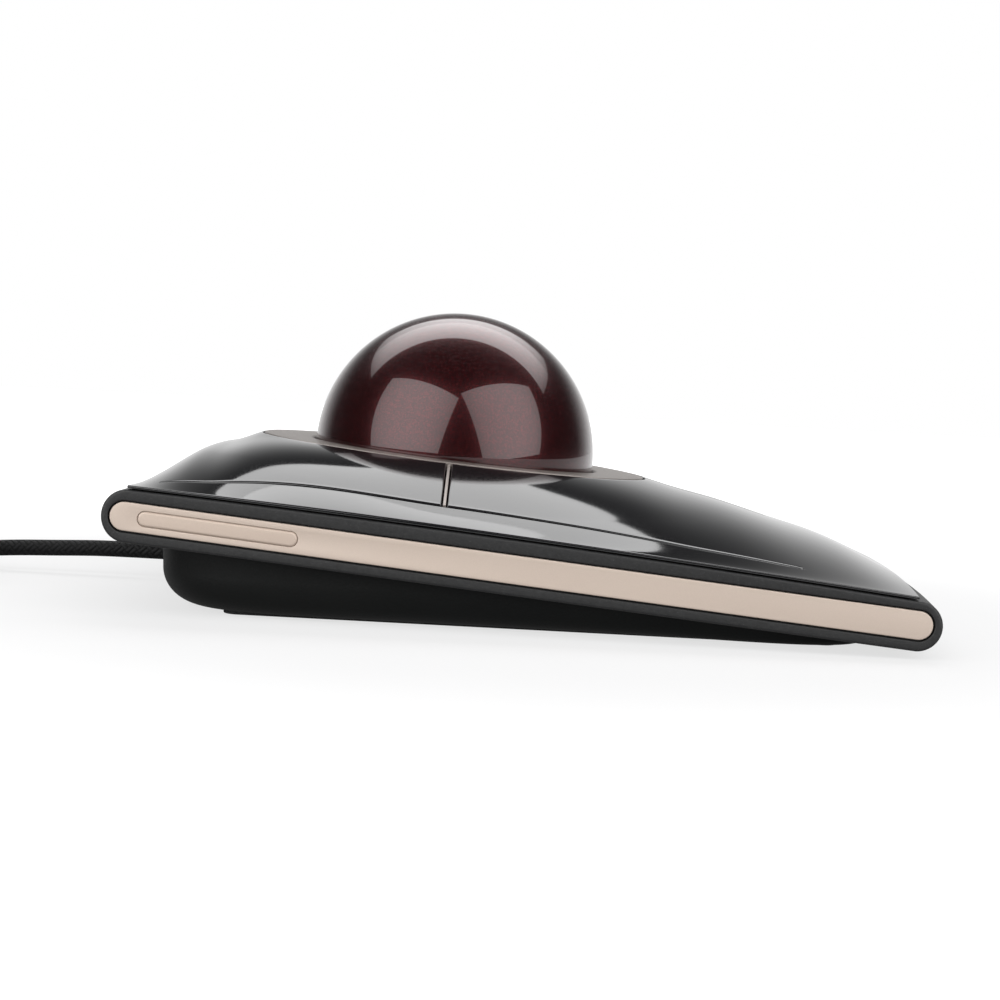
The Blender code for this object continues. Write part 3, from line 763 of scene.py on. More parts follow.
@dataclass(frozen=True)
class SolderMask:
    """Green lacquer of the circuit boards."""

    colour: Colour = (0.01, 0.075, 0.03)
    slot: str = "board_green"

    def material(self) -> bpy.types.Material:
        """Gives the material: lighter tracks that run in steps under the lacquer."""
        p = Paint("solder_mask")
        x, y, _ = p.parts(p.place)
        lanes = ((x * 900 + (y * 300).unary("FLOOR") * 0.37).unary("FRACT") > 0.62) * p.noise(4, 1).ease(0.45, 0.55)
        colour = p.blend(lanes, self.colour, (0.03, 0.16, 0.06))
        return p.coat(Base_Color=colour, Roughness=p.noise(1, 2) * 0.1 + 0.25, Normal=p.relief(lanes, 0.03))


@dataclass(frozen=True)
class WhiteMoulding:
    """Off-white plastic of small inner mouldings and the plug's tongue."""

    colour: Colour = (0.62, 0.61, 0.57)
    slot: str = "white_plastic"

    def material(self) -> bpy.types.Material:
        """Gives the material: slight mottling and fine texture."""
        p = Paint("white_moulding")
        fine = p.noise(0.3, 2)
        colour = p.blend(p.noise(3, 2), self.colour, (0.7, 0.69, 0.66))
        return p.coat(Base_Color=colour, Roughness=fine * 0.15 + 0.4, Normal=p.relief(fine, 0.008))


# ---------------------------------------------------------------- the case's form


@dataclass(frozen=True)
class CaseForm:
    """Sizes and surfaces that the case's pieces share."""

    half_width: float = 65.5
    end: float = 67.0
    end_bow: float = 3.2
    edge_reach: float = 4.3
    slope: float = 0.0848
    middle_height: float = 11.58
    below_middle: float = 4.45
    above_middle: float = 4.75
    floor: float = 1.8
    side_wall: float = 2.6
    end_lip: float = 1.0
    gap: float = 0.3
    cover_edge: float = 0.45
    slot_x: float = 58.0
    slot_width: float = 0.7
    front_hinge: float = -48.3
    rear_hinge: float = 62.8
    ball_centre: tuple[float, float, float] = (0.0, 13.9, 28.12)
    ball_radius: float = 27.5
    ring_slope: float = 0.0718
    ring_height: float = 27.85
    ring_outer: float = 37.7
    ring_inner: float = 28.1
    crown_heights: tuple[tuple[float, float], ...] = (
        (-67, 11.3), (-58, 15.2), (-48, 18.2), (-38, 21.1), (-28, 23.3), (-20, 25.3),
        (14, 27.9), (49, 30.5), (54, 28.6), (59, 27.2), (64, 23.6), (67, 21.0),
    )  # fmt: skip

    parting_rise: float = 0.45
    parting_middle: float = 12.0
    parting_run: float = 55.0
    fullness: float = 2.3
    fullness_gain: float = 0.4
    fullness_run: float = 30.0
    slot_share: float = 0.18
    slot_share_gain: float = 0.12
    slot_share_middle: float = 21.5
    slot_share_run: float = 37.0
    lift_end: float = 60.0
    lift_rear_cut: float = 10.0
    lift_power: float = 1.5
    rim_dip_start: float = 50.0

    def bow(self, x: Array) -> Array:
        """Gives how far the front and rear edges bow out at x: a parabola, none at the sides."""
        return self.end_bow * (1 - (np.asarray(x, float) / self.half_width) ** 2)

    def slab_middle(self, y: Array) -> Array:
        """Gives the height of the side face's centre line: a straight slope."""
        return self.middle_height + self.slope * np.asarray(y, float)

    def underside(self, y: Array) -> Array:
        """Gives the height of the housing's underside."""
        return self.slab_middle(y) - self.below_middle

    def side_parting(self, y: Array) -> Array:
        """Gives the parting line on a side face: the slope plus a shallow parabola."""
        off = (np.asarray(y, float) - self.parting_middle) / self.parting_run
        return self.slab_middle(y) + self.above_middle + self.parting_rise * (1 - off**2)

    def ring_plane(self, y: Array) -> Array:
        """Gives the height of the plane that the ring lies in."""
        return self.ring_height + self.ring_slope * (np.asarray(y, float) - self.ball_centre[1])

    def arch(self, x: Array, y: Array) -> Array:
        """Gives the height of an arch across the case.

        It is (1 - |x|^n)^m of the way from the edge to the centre line's height, with n and m changing
        along the case.

        Args:
            x: Places across.
            y: Places along.

        Returns:
            Heights.
        """
        across = np.clip(np.abs(x) / self.half_width, 0, 1)
        along = y * self.end / (self.end + self.bow(x))
        edge = self.side_parting(along) + self.cover_edge + self.gap / 2
        near_ball = np.exp(-(((along - 14) / self.fullness_run) ** 2))
        near_slots = np.exp(-(((along - self.slot_share_middle) / self.slot_share_run) ** 2))
        power = self.fullness + self.fullness_gain * near_ball
        slot_share = self.slot_share + self.slot_share_gain * near_slots
        slot_across = self.slot_x / self.half_width
        fall = np.log(slot_share) / np.log(1 - slot_across**power)
        rise = through(self.crown_heights, along) - edge
        return edge + rise * np.maximum(1 - across**power, 0) ** fall

    def crown(self, x: Array, y: Array) -> Array:
        """Gives the top of the gloss cover: the arch, lifted to meet the ring's outer edge.

        The lift is what the arch lacks at the ring in the same direction, times (1 - q)^1.5, where q is the
        share of the way out from the ring.

        Args:
            x: Places across.
            y: Places along.

        Returns:
            Heights.
        """
        x, y = np.broadcast_arrays(np.asarray(x, float), np.asarray(y, float))
        off = y - self.ball_centre[1]
        away = np.maximum(np.hypot(x, off), 1)
        ring_x, ring_off = x / away * self.ring_outer, off / away * self.ring_outer
        ring_y = self.ball_centre[1] + ring_off
        lift = self.ring_plane(ring_y) - self.arch(ring_x, ring_y)
        fade_end = self.lift_end - self.lift_rear_cut * np.maximum(off / away, 0) ** 2
        fade = 1 - np.clip((away - self.ring_outer) / (fade_end - self.ring_outer), 0, 1)
        return self.arch(x, y) + lift * fade**self.lift_power

    def rim(self, x: Array, y: Array) -> Array:
        """Gives the parting line all round: the side's, lowered towards the ends to follow the crown."""
        side = np.sign(y)
        tip = side * (self.end + self.bow(x))
        dip = self.crown(x, tip) - self.side_parting(side * self.end) - self.cover_edge - self.gap / 2
        return self.side_parting(y) + dip * smoothstep(self.rim_dip_start, self.end, np.abs(y))

    def capsule(
        self, x: float, ends: tuple[float, float], low: Callable, high: Callable, reach: float
    ) -> Array:
        """Draws a closed outline in the plane at x: two long sides joined by rounded ends.

        Each end is half an ellipse, y = end +- reach * cos a and z = middle + half-height * sin a.

        Args:
            x: The plane's place.
            ends: The front and rear places where the rounding starts.
            low: Height of the lower side, as a function of y.
            high: Height of the upper side.
            reach: How far the ends stand out.

        Returns:
            The outline's points.
        """
        angle = np.linspace(-math.pi / 2, math.pi / 2, 25)
        run = np.linspace(ends[0], ends[1], 90)[1:-1]
        parts = [np.c_[run, low(run)]]
        for y, side in ((ends[1], 1), (ends[0], -1)):
            bottom, top = float(low(np.array(y))), float(high(np.array(y)))
            heights = (top + bottom) / 2 + (top - bottom) / 2 * np.sin(angle)
            arc = np.c_[y + side * reach * np.cos(angle), heights]
            parts.append(arc if side > 0 else arc[::-1])
        back = run[::-1]
        outline = np.concatenate([parts[0], parts[1], np.c_[back, high(back)], parts[2]])
        return np.c_[np.full(len(outline), x), outline]

    def side_loop(self, x: float, half: float, ends: tuple[float, float] = (-67.2, 67.4)) -> Array:
        """Draws a capsule of a half-height along a side face's centre line."""
        middle = self.slab_middle
        return self.capsule(x, ends, lambda y: middle(y) - half, lambda y: middle(y) + half, half)


@dataclass
class Piece:
    """What every sub-assembly shares: the case's form and the way a piece is handed over."""

    form: CaseForm
    finishes: dict[str, bpy.types.Material]

    def place(
        self, piece: bpy.types.Object, body: str, slot: str, *nodes: str, finish: str = ""
    ) -> bpy.types.Object:
        """Dresses a piece, and says what it rides on and stands for.

        Args:
            piece: The piece.
            body: The body it moves with.
            slot: The record's material slot.
            *nodes: The CAD nodes it stands for.
            finish: Another finish than the slot's.

        Returns:
            The piece.
        """
        piece.data.materials.clear()
        piece.data.materials.append(self.finishes[finish or slot])
        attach(piece, body)
        if nodes:
            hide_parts(*nodes)
        log.info("%s: %d faces, on %s", piece.name, len(piece.data.polygons), body)
        return piece


# ---------------------------------------------------------------- case


@dataclass
class LowerHousing(Piece):
    """The charcoal lower housing: a slab with rounded ends and a long groove in each side face."""

    edge_radius: float = 0.5
    groove_half: float = 2.75
    groove_depth: float = 1.3
    lip_radius: float = 0.15
    opening: float = 33.5
    sections: int = 72

    def build(self) -> None:
        """Makes the housing."""
        skin = Skin("lower_housing")
        skin.solid(np.stack(self.side_face(-1) + self.middle() + self.side_face(1)[::-1]))
        piece = skin.object()
        cx, cy, _ = self.form.ball_centre
        shaped(piece, [self.hollow(), rod("ball_opening", self.opening, (cx, cy), -5, 24, 96)], "DIFFERENCE")
        self.place(piece, "case", "textured_charcoal", "bottom_housing")

    def outline(self, x: float, shrink: float = 0.0) -> Array:
        """Draws the slab's outline in the plane at x, shrunk all round by a margin."""
        f = self.form
        end = f.end + float(f.bow(np.array(x)))
        return f.capsule(
            x,
            (-end, end),
            lambda y: f.underside(y) + shrink,
            lambda y: f.rim(np.full_like(y, x), y) - f.gap / 2 - shrink,
            f.edge_reach - shrink,
        )

    def side_face(self, side: int) -> list[Array]:
        """Draws one side face from the groove's floor outwards to the rounded outer edge."""
        wall = self.form.half_width
        inset, drop = rolled_edge(self.lip_radius, 4)
        loops = [self.form.side_loop(side * (wall - self.groove_depth), self.groove_half)]
        loops += [
            self.form.side_loop(side * (wall - d), self.groove_half + i) for i, d in zip(inset, drop)
        ]
        inset, drop = rolled_edge(self.edge_radius, 7)
        loops += [self.outline(side * (wall - d), i) for i, d in zip(inset[::-1], drop[::-1])]
        return loops

    def middle(self) -> list[Array]:
        """Draws the outlines between the side faces, closer together near the sides."""
        reach = self.form.half_width - self.edge_radius
        turn = np.linspace(-math.pi / 2, math.pi / 2, self.sections)[1:-1]
        return [self.outline(float(x)) for x in reach * np.sin(turn)]

    def hollow(self) -> bpy.types.Object:
        """Makes the space inside the housing, open at the top."""
        f = self.form
        loops = []
        for x in (f.half_width - f.side_wall) * np.sin(np.linspace(-math.pi / 2, math.pi / 2, 40)):
            end = f.end + float(f.bow(x)) - f.end_lip
            low = lambda y: f.underside(y) + f.floor  # noqa: E731
            loops.append(f.capsule(float(x), (-end, end), low, lambda y: f.slab_middle(y) + 20, 0.02))
        tool = Skin("hollow")
        tool.solid(np.stack(loops))
        return tool.object()


@dataclass
class SideTrim(Piece):
    """The beige trim in each side groove, with a blank plate let into its rear part."""

    half: float = 2.45
    back: float = 1.15
    face: float = 0.1
    edge_radius: float = 0.22
    recess_half: float = 1.36
    recess_depth: float = 0.5
    recess: tuple[float, float] = (38.0, 65.2)
    plate_half: float = 1.28
    plate: tuple[float, float] = (38.08, 65.12)

    def build(self) -> None:
        """Makes both trims and both plates."""
        for hand in Hand:
            self.trim(hand)
            self.blank_plate(hand)

    def bar_ends(self, span: tuple[float, float], half: float) -> tuple[float, float]:
        """Gives where a bar's end rounding starts, from its ends along the case."""
        return span[0] + half, span[1] - half

    def trim(self, hand: Hand) -> None:
        """Makes one trim: loops from its back round its edge to the recess floor."""
        f, side = self.form, hand.value
        skin = Skin(f"side_trim_{hand.name.lower()}")
        wall = f.half_width
        inset, drop = rolled_edge(self.edge_radius, 6)
        loops = [f.side_loop(side * (wall - self.back), self.half)]
        loops += [f.side_loop(side * (wall - self.face - d), self.half - i) for i, d in zip(inset, drop)]
        low_in, low_drop = rolled_edge(0.12, 4)
        ends = self.bar_ends(self.recess, self.recess_half)
        for i, d in zip(low_in[::-1], low_drop[::-1]):
            loops.append(f.side_loop(side * (wall - self.face - d), self.recess_half + i, ends))
        loops.append(f.side_loop(side * (wall - self.recess_depth), self.recess_half, ends))
        skin.solid(np.stack(loops))
        self.place(skin.object(), "case", "beige", f"side_insert_{hand.name.lower()}")

    def blank_plate(self, hand: Hand) -> None:
        """Makes one blank plate, its face proud of the trim and its edge rolled."""
        f, side = self.form, hand.value
        skin = Skin(f"blank_plate_{hand.name.lower()}")
        ends = self.bar_ends(self.plate, self.plate_half)
        inset, drop = rolled_edge(0.45, 8)
        loops = [f.side_loop(side * (f.half_width - 0.35), self.plate_half, ends)]
        for i, d in zip(inset, drop):
            loops.append(f.side_loop(side * (f.half_width + 0.05 - d), self.plate_half - i, ends))
        skin.solid(np.stack(loops))
        self.place(skin.object(), "case", "beige", f"nameplate_{hand.name.lower()}", finish="beige_plate")


@dataclass
class Base(Piece):
    """The matte black base under the housing, its screws' recesses, and its two feet."""

    half_width: float = 61.0
    front: float = -62.0
    rear: float = 63.0
    bow: float = 3.0
    bottom: float = 0.65
    fillet: float = 6.5
    front_fillet: float = 1.2
    fillet_run: float = 50.0
    flare: float = 0.6
    wall: float = 2.0
    floor: float = 1.4
    top: float = 20.0
    squareness: float = 0.25
    foot: tuple[float, float, float] = (5.5, 108.0, 0.65)
    foot_place: tuple[float, float] = (49.5, -2.0)
    screws: tuple[tuple[float, float], ...] = ((-46.0, 44.0), (46.0, 44.0), (-46.8, -36.0), (46.8, -36.0))

    def build(self) -> None:
        """Makes the base and the feet."""
        piece = self.shell("base_shell", 0.0, self.bottom, self.fillet, None)
        inner = self.shell("base_space", self.wall, self.bottom + self.floor, self.fillet - 1.5, 24.0)
        shaped(piece, [inner], "DIFFERENCE")
        shaped(piece, [rod("boss", 4.0, s, self.bottom + 0.3, 4.5, 32) for s in self.screws], "UNION")
        cx, cy, _ = self.form.ball_centre
        cutters = [rod("service_opening", 15.4, (cx, cy), -2, 12, 96), self.cord_way()]
        cutters += [rod("recess", 2.7, s, -1, 2.3, 32) for s in self.screws]
        shaped(piece, cutters, "DIFFERENCE")
        self.place(piece, "case", "matte_black", "base_pedestal")
        for hand in Hand:
            self.make_foot(hand)

    def shell(
        self, name: str, inset: float, bottom: float, fillet: float, top: float | None
    ) -> bpy.types.Object:
        """Makes a rounded block.

        In plan it is a superellipse with bowed ends. Its foot is a fillet, a quarter circle whose radius
        grows from the low front to the tall rear, and above that it flares a little with height.

        Args:
            name: The block's name.
            inset: How far its side stands in from the base's outline.
            bottom: Its lowest height.
            fillet: The fillet's radius at the rear.
            top: Its upper height, or None to end it just under the housing.

        Returns:
            The block.
        """
        turn = np.linspace(0, 2 * math.pi, 320, endpoint=False)[None, :]
        steps = np.linspace(0, 1, 40)[:, None] ** 1.6
        _, y = self.outline(turn, np.full_like(turn, inset))
        high = self.form.underside(y) - self.form.gap if top is None else np.full_like(y, top)
        z = bottom + (high - bottom) * steps
        share = smoothstep(self.front, self.front + self.fillet_run, y)
        radius = self.front_fillet + (fillet - self.front_fillet) * share
        rise = np.clip((z - bottom) / radius, 0, 1)
        shrink = radius * (1 - np.sqrt(1 - (1 - rise) ** 2))
        above = np.clip((z - bottom - radius) / (self.top - bottom - radius), 0, None)
        x, y = self.outline(np.broadcast_to(turn, z.shape), inset + shrink - self.flare * above)
        skin = Skin(name)
        skin.solid(np.stack([x, y, z], axis=-1))
        return skin.object()

    def outline(self, turn: Array, inset: Array) -> tuple[Array, Array]:
        """Gives the plan outline at angles, set in by a margin: |cos|^n and |sin|^n, with bowed ends."""
        half_x = self.half_width - inset
        half_y = (self.rear - self.front) / 2 - inset
        cos, sin = np.cos(turn), np.sin(turn)
        x = half_x * np.sign(cos) * np.abs(cos) ** self.squareness
        unit = np.sign(sin) * np.abs(sin) ** self.squareness
        y = (self.rear + self.front) / 2 + half_y * unit + self.bow * unit * (1 - (x / half_x) ** 2)
        return x, y

    def cord_way(self) -> bpy.types.Object:
        """Makes the round way through the rear wall for the cord."""
        skin = Skin("cord_way")
        outline = np.array([(0.01, 0.0), (2.9, 0.0), (2.9, 20.0), (0.01, 20.0)])
        turned(skin, outline, (0, 55, 5.3), (0, 1, 0), 40)
        return skin.object()

    def make_foot(self, hand: Hand) -> None:
        """Makes one long foot: stadium loops with a rolled lower edge."""
        wide, long, high = self.foot
        reach = (long - wide) / 2
        angle = np.linspace(0, 2 * math.pi, 96, endpoint=False)
        inset, drop = rolled_edge(0.25, 5)
        levels = [(high, 0.0), *[(d, i) for i, d in zip(inset, drop)]]
        cx = self.foot_place[0] * hand.value
        loops = []
        for z, shrink in levels:
            radius = wide / 2 - shrink
            along = self.foot_place[1] + np.sign(np.sin(angle)) * reach + radius * np.sin(angle)
            loops.append(np.c_[cx + radius * np.cos(angle), along, np.full_like(angle, z)])
        skin = Skin(f"foot_pad_{hand.name.lower()}")
        skin.solid(np.stack(loops))
        self.place(skin.object(), "case", "rubber", f"foot_{hand.name.lower()}")


# ---------------------------------------------------------------- gloss cover


@dataclass
class GlossCover(Piece):
    """The gloss band round the crown, from the slots and hinge lines out to the parting line."""

    thickness: float = 1.8
    slot_edge: float = 0.3
    outer_edge: float = 0.25
    side_steps: int = 260
    end_steps: int = 200

    def build(self) -> None:
        """Makes the band as one closed ring of sections."""
        inner, lip, edge, is_side = self.stations()
        profile, height = self.profile(inner, lip, edge, is_side)
        skin = Skin("gloss_cover")
        skin.solid(np.concatenate([profile, height[..., None]], axis=-1), loop=True)
        self.place(skin.object(), "case", "gloss_black", "top_cover")

    def stations(self) -> tuple[Array, Array, Array, Array]:
        """Walks once round the case.

        Returns:
            For each station its plan places on the inner line, the locating lip and the outer edge, and
            whether a slot runs along its inner line.
        """
        f = self.form
        xs = [f.slot_x + f.slot_width / 2, f.half_width - f.side_wall - f.gap, f.half_width]
        lines: list[list[Array]] = [[], [], []]
        flags = []
        for side in range(4):
            sign = 1 if side < 2 else -1
            on_side = side % 2 == 0
            steps = self.side_steps if on_side else self.end_steps
            q = np.linspace(0, 1, steps, endpoint=False)
            for level, half in enumerate(xs):
                x = np.full(steps, sign * half) if on_side else half * (1 - 2 * q) * sign
                rear, front = self.y_end(level, x, 1), self.y_end(level, x, -1)
                if on_side:
                    y = front + (rear - front) * (q if side == 0 else 1 - q)
                else:
                    y = rear if sign > 0 else front
                lines[level].append(np.stack([x, y], axis=-1))
            flags.append(np.full(steps, on_side))
        inner, lip, edge = (np.concatenate(line) for line in lines)
        return inner, lip, edge, np.concatenate(flags)

    def y_end(self, level: int, x: Array, sign: int) -> Array:
        """Gives the front or rear place of the inner line (0), the lip (1) or the outer edge (2)."""
        f = self.form
        if level == 0:
            return np.full_like(x, f.rear_hinge if sign > 0 else f.front_hinge)
        edge = f.end + f.bow(x)
        return sign * (edge if level == 2 else edge - f.end_lip - f.gap)

    def profile(self, inner: Array, lip: Array, edge: Array, is_side: Array) -> tuple[Array, Array]:
        """Lays one section at each station.

        From the inner line the top runs out to the edge, which is rolled, then back along the underside.
        Along a slot the inner edge is rolled too. Along a hinge line it goes a little under the button.

        Args:
            inner: Plan places on the inner line.
            lip: Plan places on the locating lip.
            edge: Plan places on the outer edge.
            is_side: Whether a slot runs along the inner line.

        Returns:
            Plan places and heights, by station and point.
        """
        f = self.form
        first = np.linalg.norm(lip - inner, axis=1)[:, None]
        second = np.linalg.norm(edge - lip, axis=1)[:, None]
        inset, drop = rolled_edge(self.slot_edge, 6)
        slot_in, slot_drop = np.r_[0, inset][None], np.r_[self.thickness, drop][None]
        hinge_in = np.array([[-0.8, -0.8, -0.4, -0.05, -0.02, 0.0, 0.3]])
        hinge_drop = np.array([[1.2, 0.12, 0.07, 0.05, 0.02, 0.0, 0.0]])
        slot = is_side[:, None]
        start = np.where(slot, slot_in, hinge_in) / first
        start_drop = np.where(slot, slot_drop, hinge_drop)
        span = np.linspace(0, 1, 26)[1:-1][None]
        run = self.slot_edge / first + (1 - self.slot_edge / first) * span
        out_in, out_drop = rolled_edge(self.outer_edge, 6)
        flat = 1 + np.linspace(0, 1, 14)[None, :-1] * (1 - self.outer_edge / second)
        outer = np.concatenate([flat, 2 - out_in[::-1][None] / second], axis=1)
        outer_drop = np.concatenate([np.zeros((1, 13)), out_drop[::-1][None]], axis=1)
        back = np.array([[2.0, 1.5, 1.0, 1.0, 0.5, 0.0]])
        rows = len(inner)
        run, back = np.broadcast_to(run, (rows, 24)), np.broadcast_to(back, (rows, 6))
        outer_drop = np.broadcast_to(outer_drop, (rows, 19))
        share = np.concatenate([start, run, outer, back], axis=1)
        fall = np.concatenate([start_drop, np.zeros((rows, 24)), outer_drop, np.zeros((rows, 6))], axis=1)
        near, far = np.clip(share, None, 1)[..., None], np.clip(share - 1, 0, 1)[..., None]
        plan = inner[:, None] + (lip - inner)[:, None] * near + (edge - lip)[:, None] * far
        height = f.crown(plan[..., 0], plan[..., 1]) - fall
        height[:, -6] = f.crown(plan[:, -6, 0], plan[:, -6, 1]) - f.cover_edge
        for column in (-5, -4):
            height[:, column] = self.resting(plan[:, column, 0], plan[:, column, 1])
        for column, depth in ((-3, 2.4), (-2, 2.1), (-1, 1.8)):
            height[:, column] = f.crown(plan[:, column, 0], plan[:, column, 1]) - depth
        return plan, height

    def resting(self, x: Array, y: Array) -> Array:
        """Gives the underside's height where the cover rests over the housing's rim."""
        f = self.form
        at_side = (np.abs(x) > f.slot_x + 2) & (np.abs(y) < f.end - 1)
        side = f.rim(np.copysign(f.half_width, x), y)
        end = f.rim(x, np.copysign(f.end + f.bow(x), y))
        return np.where(at_side, side, end) + f.gap / 2


@dataclass
class Buttons(Piece):
    """The four gloss buttons, each sprung at its outer end and cut off by a slot and two strips."""

    strip_half: float = 0.28
    clearance: float = 0.3
    strip_gap: float = 0.22
    thickness: float = 2.0
    edge_radius: float = 0.3
    post_radius: float = 1.6
    front_switch: tuple[float, float] = (30.0, -27.0)
    rear_switch: tuple[float, float] = (45.0, 23.0)
    corner_shares: tuple[float, float] = (0.55, 0.5)

    def build(self) -> None:
        """Makes the four buttons."""
        for row in Row:
            for hand in Hand:
                name = f"button_{row.name.lower()}_{hand.name.lower()}"
                skin = Skin(f"gloss_{name}")
                self.plate(skin, row, hand)
                self.post(skin, row, hand)
                self.place(skin.object(), name, "gloss_black", name)

    def plate(self, skin: Skin, row: Row, hand: Hand) -> None:
        """Adds the button's plate.

        Its grid runs from the ring outwards and from one strip round to the other. Its top is the crown,
        lowered by a quarter circle near the free edges, and its underside is the crown set down.

        Args:
            skin: The piece it is added to.
            row: The button's row.
            hand: The button's side.
        """
        f = self.form
        corner = self.corner_shares[0] if row is Row.FRONT else self.corner_shares[1]
        fine = np.array([0, 0.0003, 0.0008, 0.0015, 0.0024, 0.0035, 0.005, 0.008])
        before, after = np.linspace(0.008, corner, 80), np.linspace(corner, 0.992, 80)
        along = np.unique(np.concatenate([fine, before, after, 1 - fine]))
        line = self.strip_half + self.strip_gap
        ring = f.ring_outer + self.clearance
        first = math.asin(line / ring)
        angle = first + (math.pi / 2 - 2 * first) * along
        inner = np.stack([ring * np.cos(angle), ring * np.sin(angle)], axis=1)
        cy = f.ball_centre[1]
        hinge = f.rear_hinge - cy if row is Row.REAR else cy - f.front_hinge
        x_out = f.slot_x - f.slot_width / 2
        up = np.clip(along / corner, 0, 1)
        over = np.clip((1 - along) / (1 - corner), 0, 1)
        outer = np.stack([line + (x_out - line) * over, line + (hinge - line) * up], axis=1)
        length = np.linalg.norm(outer - inner, axis=1)[:, None]
        edge = np.array([0, 0.02, 0.06, 0.12, 0.2, 0.3])[None] / length
        span = np.linspace(0, 1, 48)[1:-1][None]
        between = edge[:, -1:] + (1 - 2 * edge[:, -1:]) * span
        share = np.concatenate([edge, between, 1 - edge[:, ::-1]], axis=1)
        top = inner[:, None] + (outer - inner)[:, None] * share[..., None]
        free = np.minimum.reduce([
            np.hypot(top[..., 0], top[..., 1]) - ring,
            x_out - top[..., 0],
            top[..., 0] - line,
            top[..., 1] - line,
        ])  # fmt: skip
        low_share = np.linspace(1, 0, 14)[None, :, None]
        low = outer[:, None] * low_share + inner[:, None] * (1 - low_share)
        plan = np.concatenate([top, low], axis=1) * np.array([hand.value, row.value])
        x, y = plan[..., 0], plan[..., 1] + cy
        height = f.crown(x, y)
        inward = np.clip(free / self.edge_radius, 0, 1)
        fall = self.edge_radius * (1 - np.sqrt(1 - (1 - inward) ** 2))
        columns = top.shape[1]
        height[:, :columns] -= fall
        height[:, columns:] -= self.thickness
        skin.solid(np.stack([x, y, height], axis=-1))

    def post(self, skin: Skin, row: Row, hand: Hand) -> None:
        """Adds the post that presses the switch: a round rod under the plate."""
        f = self.form
        x, y = self.front_switch if row is Row.FRONT else self.rear_switch
        low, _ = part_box(f"button_{row.name.lower()}_{hand.name.lower()}")
        bottom = min(float(low.z) / MM, float(f.crown(x, y)) - 3)
        tall = float(f.crown(x, y)) - 1.0 - bottom
        wide = self.post_radius
        outline = rounded([(0.01, 0, 0), (wide, 0, 0.3), (wide, tall, 0), (0.01, tall, 0)])
        turned(skin, outline, (x * hand.value, y, bottom), (0, 0, 1), 32)


@dataclass
class Strips(Piece):
    """The four champagne strips between the buttons."""

    width: float = 0.56
    depth: float = 3.3
    below: float = 0.05
    edge_radius: float = 0.14

    def build(self) -> None:
        """Makes each strip from the ring outwards, its top just under the crown."""
        f = self.form
        cx, cy, _ = f.ball_centre
        start = f.ring_outer + 0.8
        ends = {
            "left": ((-start, cy), (-f.slot_x + 0.5, cy)),
            "right": ((start, cy), (f.slot_x - 0.5, cy)),
            "front": ((cx, cy - start), (cx, f.front_hinge + 0.5)),
            "rear": ((cx, cy + start), (cx, f.rear_hinge - 0.5)),
        }
        half = self.width / 2
        low, high, edge = -self.depth, -self.below, self.edge_radius
        section = rounded([(-half, low, 0), (half, low, 0), (half, high, edge), (-half, high, edge)])
        for name, (first, last) in ends.items():
            q = np.linspace(0, 1, 60)[:, None, None]
            line = np.array(first) * (1 - q) + np.array(last) * q
            across = np.array([0, 1.0]) if name in ("left", "right") else np.array([1.0, 0])
            plan = line + section[None, :, :1] * across
            height = f.crown(line[..., 0], line[..., 1]) + section[None, :, 1]
            skin = Skin(f"strip_{name}")
            skin.solid(np.concatenate([plan, height[..., None]], axis=-1))
            self.place(skin.object(), "case", "champagne", f"separator_{name}")


# ---------------------------------------------------------------- ball


@dataclass
class BallAndRing(Piece):
    """The ball and the flat ring round it."""

    ring_thickness: float = 1.2
    steps: int = 256

    def build(self) -> None:
        """Makes the ball and the ring; the cup keeps its own shape."""
        self.ball()
        self.ring()

    @property
    def axis(self) -> tuple[float, float, float]:
        """The ring's axis, square to its plane."""
        tilt = math.atan(self.form.ring_slope)
        return (0.0, -math.sin(tilt), math.cos(tilt))

    def ball(self) -> None:
        """Makes the ball: circles of radius R sin a at height -R cos a, closed at both poles."""
        f = self.form
        angle = np.linspace(0, math.pi, 130)[1:-1][:, None]
        turn = np.linspace(0, 2 * math.pi, self.steps, endpoint=False)[None]
        flat = np.sin(angle) * np.ones_like(turn)
        upright = -np.cos(angle) * np.ones_like(turn)
        grid = np.stack([flat * np.cos(turn), flat * np.sin(turn), upright], axis=-1)
        skin = Skin("resin_ball")
        centre = np.array(f.ball_centre)
        index = skin.patch(centre + f.ball_radius * grid, wrap_cols=True)
        skin.fan(index[0], centre - [0, 0, f.ball_radius])
        skin.fan(index[-1], centre + [0, 0, f.ball_radius])
        self.place(skin.object(), "ball", "ball_resin", "ball")

    def ring(self) -> None:
        """Makes the ring: a flat section with a slanted inner lip and a rolled outer edge."""
        f = self.form
        top = f.ring_height - f.ball_centre[2]
        low = top - self.ring_thickness
        corners = [
            (f.ring_inner, top - 0.3, 0.08), (f.ring_inner + 0.4, top, 0.12), (f.ring_outer, top, 0.3),
            (f.ring_outer, low, 0.0), (f.ring_inner, low, 0.05),
        ]  # fmt: skip
        skin = Skin("ball_ring")
        turned(skin, rounded(corners), f.ball_centre, self.axis, self.steps)
        self.place(skin.object(), "case", "champagne", "ring_bezel")


# ---------------------------------------------------------------- cord


